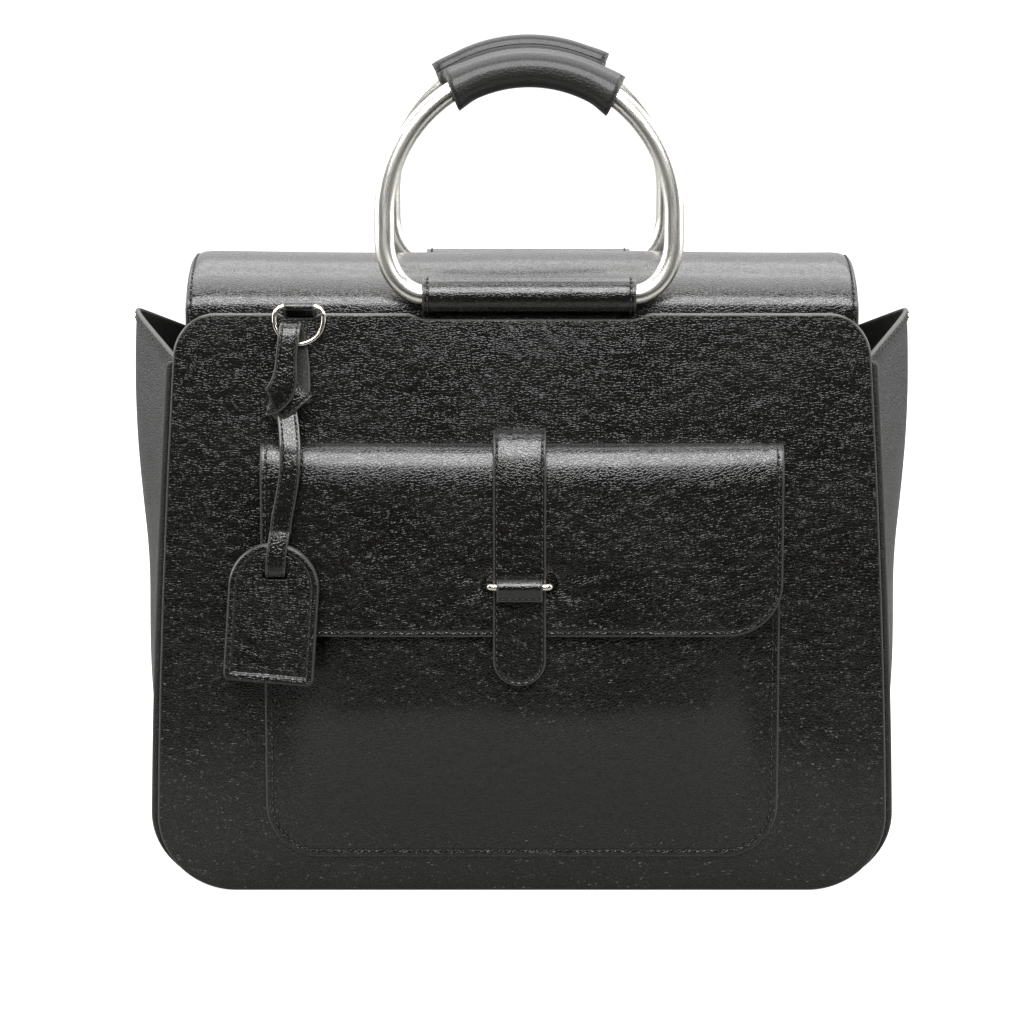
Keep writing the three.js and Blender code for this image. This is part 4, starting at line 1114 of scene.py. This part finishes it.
# D-ring tab: a leather strip folded round the ring's bar, its two plies passing over the panel's edge and
# down inside, where they are sewn.
tab_half = 0.006
tab_ply = 0.001
tab_radius = d_wire_radius + 0.00015 + tab_ply
tab_lower = -0.0038
tab_upper = tab_lower + 2 * tab_ply
tab_inside = d_ring_ahead + panel_thickness + seam_gap
tab_outside = tab_inside + 2 * tab_ply
tab_deep = -0.0138
tab_profile = [(tab_inside, tab_deep), (tab_inside, tab_lower), (0.0012, tab_lower)]
tab_profile += round_points(tab_radius, -95, -310, 40)
tab_profile += [(0.0030, tab_upper), (tab_outside, tab_upper), (tab_outside, tab_deep)]
tab_surface, tab_length = folded_sheet(tab_profile, d_ring_place, 1, 0.0003)
tab_outline = rounded_outline(2 * tab_half, 0, tab_length, 0.0004, 0.0004, 0.0005)
tab = leather_shell(
    "d_ring_tab_leather", tab_outline, tab_surface, tab_ply, wrap_leather, steps=14, deep=0.004
)
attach(tab, "root")
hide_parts("d_ring_tab")

# Tag strap: a narrow leather strap looped through the D-ring, knotted flat below it and led down to the tag.
# Its lower end is a second strap, sewn under the first, that passes through the tag's slot and up behind.
tag_strap_width = 0.0084
tag_strap_ply = 0.0014
tag_strap_seam = 0.0012


def draped_strap(rows, blur):
    """A strap along rows of x, stand-off, z, width factor and sideways direction, in millimetres. Between
    the rows it runs evenly, smoothed by the blur's share of its length. It gives the surface and length."""
    rows = np.array(rows, float)
    share = np.linspace(0, 1, 400)
    window = 2 * int(blur * 200) + 1
    given = np.linspace(0, 1, len(rows))
    even = np.stack([np.interp(share, given, column) for column in rows.T])
    x, off, z, scale, side_x, side_off, side_z = smoothed(even, window)
    middle = np.stack([x / 1000, middle_y - depth_at_top / 2 - off / 1000, z / 1000], 1)
    side = np.stack([side_x, -side_off, side_z], 1)
    ahead = np.gradient(middle, axis=0)
    ahead /= np.linalg.norm(ahead, axis=1, keepdims=True)
    side -= ahead * (side * ahead).sum(1, keepdims=True)
    side /= np.linalg.norm(side, axis=1, keepdims=True)
    side *= scale[:, None]
    length = np.concatenate([[0], np.cumsum(np.linalg.norm(np.diff(middle, axis=0), axis=1))])

    def surface(u, v):
        at = [np.interp(v, length, middle[:, k]) for k in range(3)]
        out = [np.interp(v, length, side[:, k]) * u for k in range(3)]
        return np.stack([a + b for a, b in zip(at, out)], -1)

    return surface, length[-1]


strap_rows = {
    "loop": [
        (-97.5, 7.0, 199.0, 1.0, -0.3, 0, -0.95),
        (-100.4, 8.2, 200.5, 1.05, -0.25, 0, -0.97),
        (-101.0, 10.4, 201.6, 1.15, -0.1, 0.1, -0.98),
        (-98.8, 12.9, 202.9, 1.3, 0.45, 0.1, -0.88),
        (-94.9, 13.7, 207.0, 1.35, 0.93, 0, -0.35),
        (-93.3, 13.2, 212.5, 1.18, 1, 0, -0.08),
        (-93.1, 12.2, 218.7, 1.0, 1, 0, 0),
        (-92.5, 11.4, 225.3, 1.0, 1, 0, 0),
        (-91.7, 9.9, 231.2, 1.0, 1, 0, 0),
        (-91.2, 6.5, 234.0, 1.0, 1, 0, 0),
        (-90.4, 3.0, 231.4, 1.0, 1, 0, 0),
        (-89.2, 2.7, 224.0, 1.0, 1, 0, 0),
        (-88.0, 3.7, 215.0, 1.0, 1, 0.1, 0),
        (-87.7, 5.3, 207.0, 1.0, 1, 0.2, 0),
        (-88.2, 7.2, 201.0, 1.0, 1, 0.2, -0.2),
    ],
    "band": [
        (-94.0, 5.6, 199.6, 1.0, 0.55, 0, -0.83),
        (-98.4, 6.8, 196.9, 1.0, 0.58, 0, -0.81),
        (-99.6, 8.8, 196.6, 1.0, 0.6, 0.1, -0.78),
        (-96.4, 10.9, 198.6, 1.0, 0.66, 0.1, -0.75),
        (-91.7, 11.4, 202.2, 1.0, 0.7, 0, -0.7),
        (-87.7, 10.4, 205.6, 1.0, 0.75, 0, -0.65),
        (-85.5, 8.2, 207.2, 0.95, 0.8, 0, -0.6),
        (-87.4, 5.8, 206.6, 0.9, 0.85, 0, -0.5),
    ],
    "fall": [
        (-95.7, 19.5, 150.6, 1.0, 1, 0, -0.02),
        (-95.2, 19.3, 156.0, 1.0, 1, 0, -0.03),
        (-93.8, 19.2, 163.0, 1.0, 1, 0.05, -0.05),
        (-92.4, 18.9, 171.0, 1.0, 1, 0.1, 0),
        (-91.7, 18.0, 178.0, 1.0, 1, 0.1, 0),
        (-91.6, 15.6, 186.0, 1.0, 1, 0, 0),
        (-92.2, 11.6, 193.0, 1.0, 1, -0.1, 0),
        (-93.2, 9.2, 199.0, 1.0, 1, -0.1, 0),
        (-93.6, 8.7, 204.0, 1.0, 1, -0.1, 0),
    ],
    "lower": [
        (-95.0, 16.7, 157.0, 0.97, 1, 0, 0),
        (-96.0, 15.6, 151.0, 0.97, 1, 0, 0),
        (-97.0, 14.8, 144.0, 0.95, 1, 0, 0),
        (-97.6, 14.6, 138.5, 0.95, 1, 0, 0),
        (-97.8, 15.2, 134.2, 0.95, 1, 0, 0),
        (-97.9, 18.2, 132.6, 0.95, 1, 0, 0),
        (-97.8, 21.2, 134.4, 0.95, 1, 0, 0),
        (-97.6, 21.9, 138.5, 0.95, 1, 0, 0),
        (-97.2, 21.7, 143.5, 0.96, 1, 0, 0),
        (-96.2, 20.1, 149.5, 0.97, 1, 0, 0),
        (-95.3, 18.0, 155.0, 0.97, 1, 0, 0),
        (-94.6, 17.6, 160.0, 0.97, 1, 0, 0),
    ],
}
thin_leather = leather_material("tag strap leather", black, pit_depth=0.07, crease=0.12, turn=90)
for title, rows in strap_rows.items():
    surface, length = draped_strap(rows, 0.05)
    outline = rounded_outline(tag_strap_width, 0, length, 0.001, 0.001, 0.0006)
    part = leather_shell(
        "tag_strap_" + title, outline, surface, tag_strap_ply, thin_leather, seam=tag_strap_seam, steps=8,
        deep=0.003,
    )
    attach(part, "root")
    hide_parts("tag_strap")
    edge = tag_strap_width / 2 - tag_strap_seam
    runs = side_runs(edge, 0.001, length - 0.001, 200)
    if title == "fall":
        across = np.linspace(-edge, edge, 20)
        runs += [np.stack([across, 0 * across + rise], 1) for rise in (0.0012, 0.0034)]
    threads = sewn(
        f"tag_strap_{title}_stitches", surface, runs, black_thread, pitch=0.0021, radius=0.0002, height=0.0001
    )
    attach(threads, "root")

# Luggage tag: a stiff leather tag with an arched top, hung from its slot and a little turned.
# Two plies pressed to a raised border round a pebbled field, sewn at the border's inner line.
tag_width = 0.0365
tag_thickness = 0.0022
tag_top = 0.013
tag_bottom = tag_top - 0.057
tag_corner = 0.003
tag_border = 0.0034
tag_border_height = 0.0007
tag_slot = (0.010, 0.0036)
tag_x = -0.098
tag_z = panel_height - 0.102
tag_stand = 0.0134
tag_place = (tag_x, middle_y - float(panel_face(tag_x, tag_z)) - tag_stand, tag_z)
tag_angles = np.radians([-1.5, 4, -5])


def turned_about(angles):
    """The turn about X, then the turned Y and Z, as one matrix."""
    (cx, cy, cz), (sx, sy, sz) = np.cos(angles), np.sin(angles)
    about_x = np.array([[1, 0, 0], [0, cx, -sx], [0, sx, cx]])
    about_y = np.array([[cy, 0, sy], [0, 1, 0], [-sy, 0, cy]])
    about_z = np.array([[cz, -sz, 0], [sz, cz, 0], [0, 0, 1]])
    return about_x @ about_y @ about_z


tag_turn = turned_about(tag_angles)


def tag_surface(u, v):
    """The tag's flat front, turned about its slot."""
    flat = np.stack([u, 0 * u - tag_thickness, v + 0 * u], -1)
    return np.array(tag_place) + flat @ tag_turn.T


def tag_relief(u, v):
    """The raised border, by the distance from the nearest edge, with a faint pillow over its width."""
    shoulder = tag_top - tag_width / 2
    arched = tag_width / 2 - np.hypot(u, np.maximum(v - shoulder, 0))
    away = np.minimum(arched, v - tag_bottom)
    raised = tag_border_height * (1 - ease(away, tag_border - 0.0003, tag_border + 0.0004))
    pillow = 0.00025 * np.sin(np.clip(away / tag_border, 0, 1) * np.pi)
    return raised + pillow


tag_outline = rounded_outline(tag_width, tag_bottom, tag_top, tag_corner, tag_width / 2 - 0.0001, 0.0009)
tag_leather = leather_material("tag leather", black, pit_depth=0.07, crease=0.1)
tag = leather_shell(
    "luggage_tag_leather", tag_outline, tag_surface, tag_thickness, tag_leather, seam=tag_border,
    relief=tag_relief, deep=0.007,
)
cut_with(tag, [
    oval_cutter(tag_place[0], tag_place[2], *tag_slot, tag_place[1] - 0.02, tag_place[1] + 0.02, corner=0.45)
])
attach(tag, "root")
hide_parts("luggage_tag")
tag_run = seam_run(tag_outline, tag_border - 0.0007, lambda u, v: v < 1)


def tag_raised(u, v):
    """The tag's front with its border."""
    return lift_off(tag_surface, u, v, tag_relief(u, v))


tag_threads = sewn("luggage_tag_stitches", tag_raised, [tag_run], black_thread, pitch=0.0028, radius=0.00024)
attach(tag_threads, "root")

# Camera, floor and light: the photograph's viewing angle, a plain pale floor and soft studio light.
# A black flag, which the camera doesn't see, lies before the bag and keeps the floor out of its front's
# reflection, and the world is dark ahead of the bag and bright behind it.
camera_pitch = 11.42
camera_data = bpy.data.cameras.new("camera")
camera_data.lens = 135.9
camera = bpy.data.objects.new("camera", camera_data)
camera.location = (-0.004, -1.5513, 0.462)
camera.rotation_euler = (np.radians(90 - camera_pitch), 0, 0)
bpy.context.scene.collection.objects.link(camera)
bpy.context.scene.camera = camera
bpy.context.scene.view_settings.view_transform = "Standard"

floor_half = 9.0
floor_grid = np.array([[[-1, -1, 0], [1, -1, 0]], [[-1, 1, 0], [1, 1, 0]]], float) * floor_half
floor_material = bpy.data.materials.new("pale floor")
floor_material.use_nodes = True
floor_shader = floor_material.node_tree.nodes["Principled BSDF"]
floor_shader.inputs["Base Color"].default_value = (0.27, 0.27, 0.265, 1)
floor_view = add_node(floor_material.node_tree, "ShaderNodeLightPath")
floor_glow = maths(floor_material.node_tree, "MULTIPLY", floor_view.outputs["Is Camera Ray"], 0.95)
floor_material.node_tree.links.new(floor_glow, floor_shader.inputs["Emission Strength"])
floor_shader.inputs["Emission Color"].default_value = (1, 1, 1, 1)
floor_shader.inputs["Roughness"].default_value = 0.9
floor_shader.inputs["Specular IOR Level"].default_value = 0.1
floor = build_mesh("floor", floor_grid[::-1], floor_material, around=False)

flag_material = bpy.data.materials.new("black flag")
flag_material.use_nodes = True
flag_shader = flag_material.node_tree.nodes["Principled BSDF"]
flag_shader.inputs["Base Color"].default_value = (0.002, 0.002, 0.002, 1)
flag_shader.inputs["Specular IOR Level"].default_value = 0
flag_shader.inputs["Roughness"].default_value = 1.0
flag_half = 0.9
flag_near = -0.3
flag_far = -1.6
flag_rise = 0.002
flag_grid = np.array([[[-flag_half, y, flag_rise], [flag_half, y, flag_rise]] for y in (flag_near, flag_far)])
flag = build_mesh("black_flag", flag_grid, flag_material, around=False)
flag.visible_camera = False

world = bpy.data.worlds.new("studio")
bpy.context.scene.world = world
world.use_nodes = True
sky = world.node_tree
facing = add_node(sky, "ShaderNodeTexCoord")
parts = add_node(sky, "ShaderNodeSeparateXYZ", {0: facing.outputs["Generated"]})
glow = add_node(
    sky, "ShaderNodeMapRange",
    {"Value": parts.outputs[1], "From Min": -0.75, "From Max": 0.25, "To Min": 0.03, "To Max": 0.9},
    interpolation_type="SMOOTHSTEP",
)
seen = add_node(sky, "ShaderNodeLightPath")
shown = add_node(sky, "ShaderNodeMix", {0: seen.outputs["Is Camera Ray"], 2: glow.outputs[0], 3: 1.05})
sky.links.new(shown.outputs[0], sky.nodes["Background"].inputs["Strength"])
sky.nodes["Background"].inputs["Color"].default_value = (1, 1, 1, 1)

softboxes = {
    "overhead_softbox": ((0, 0.25, 1.2), (0, 0, 0), (1.3, 0.9), 11.0),
    "front_softbox": ((0, -0.95, 1.1), (np.radians(46), 0, 0), (1.3, 0.75), 36.0),
    "rear_softbox": ((0, 1.6, 1.7), (np.radians(-10), 0, 0), (3.0, 1.4), 34.0),
    "left_softbox": ((-1.2, 0.25, 0.6), (0, np.radians(-72), 0), (0.9, 1.0), 11.0),
    "right_softbox": ((1.2, 0.25, 0.6), (0, np.radians(72), 0), (0.9, 1.0), 11.0),
}
for title, (place, turn, size, power) in softboxes.items():
    light = bpy.data.lights.new(title, "AREA")
    light.shape = "RECTANGLE"
    light.size, light.size_y = size
    light.energy = power
    lamp = bpy.data.objects.new(title, light)
    lamp.location = place
    lamp.rotation_euler = turn
    bpy.context.scene.collection.objects.link(lamp)
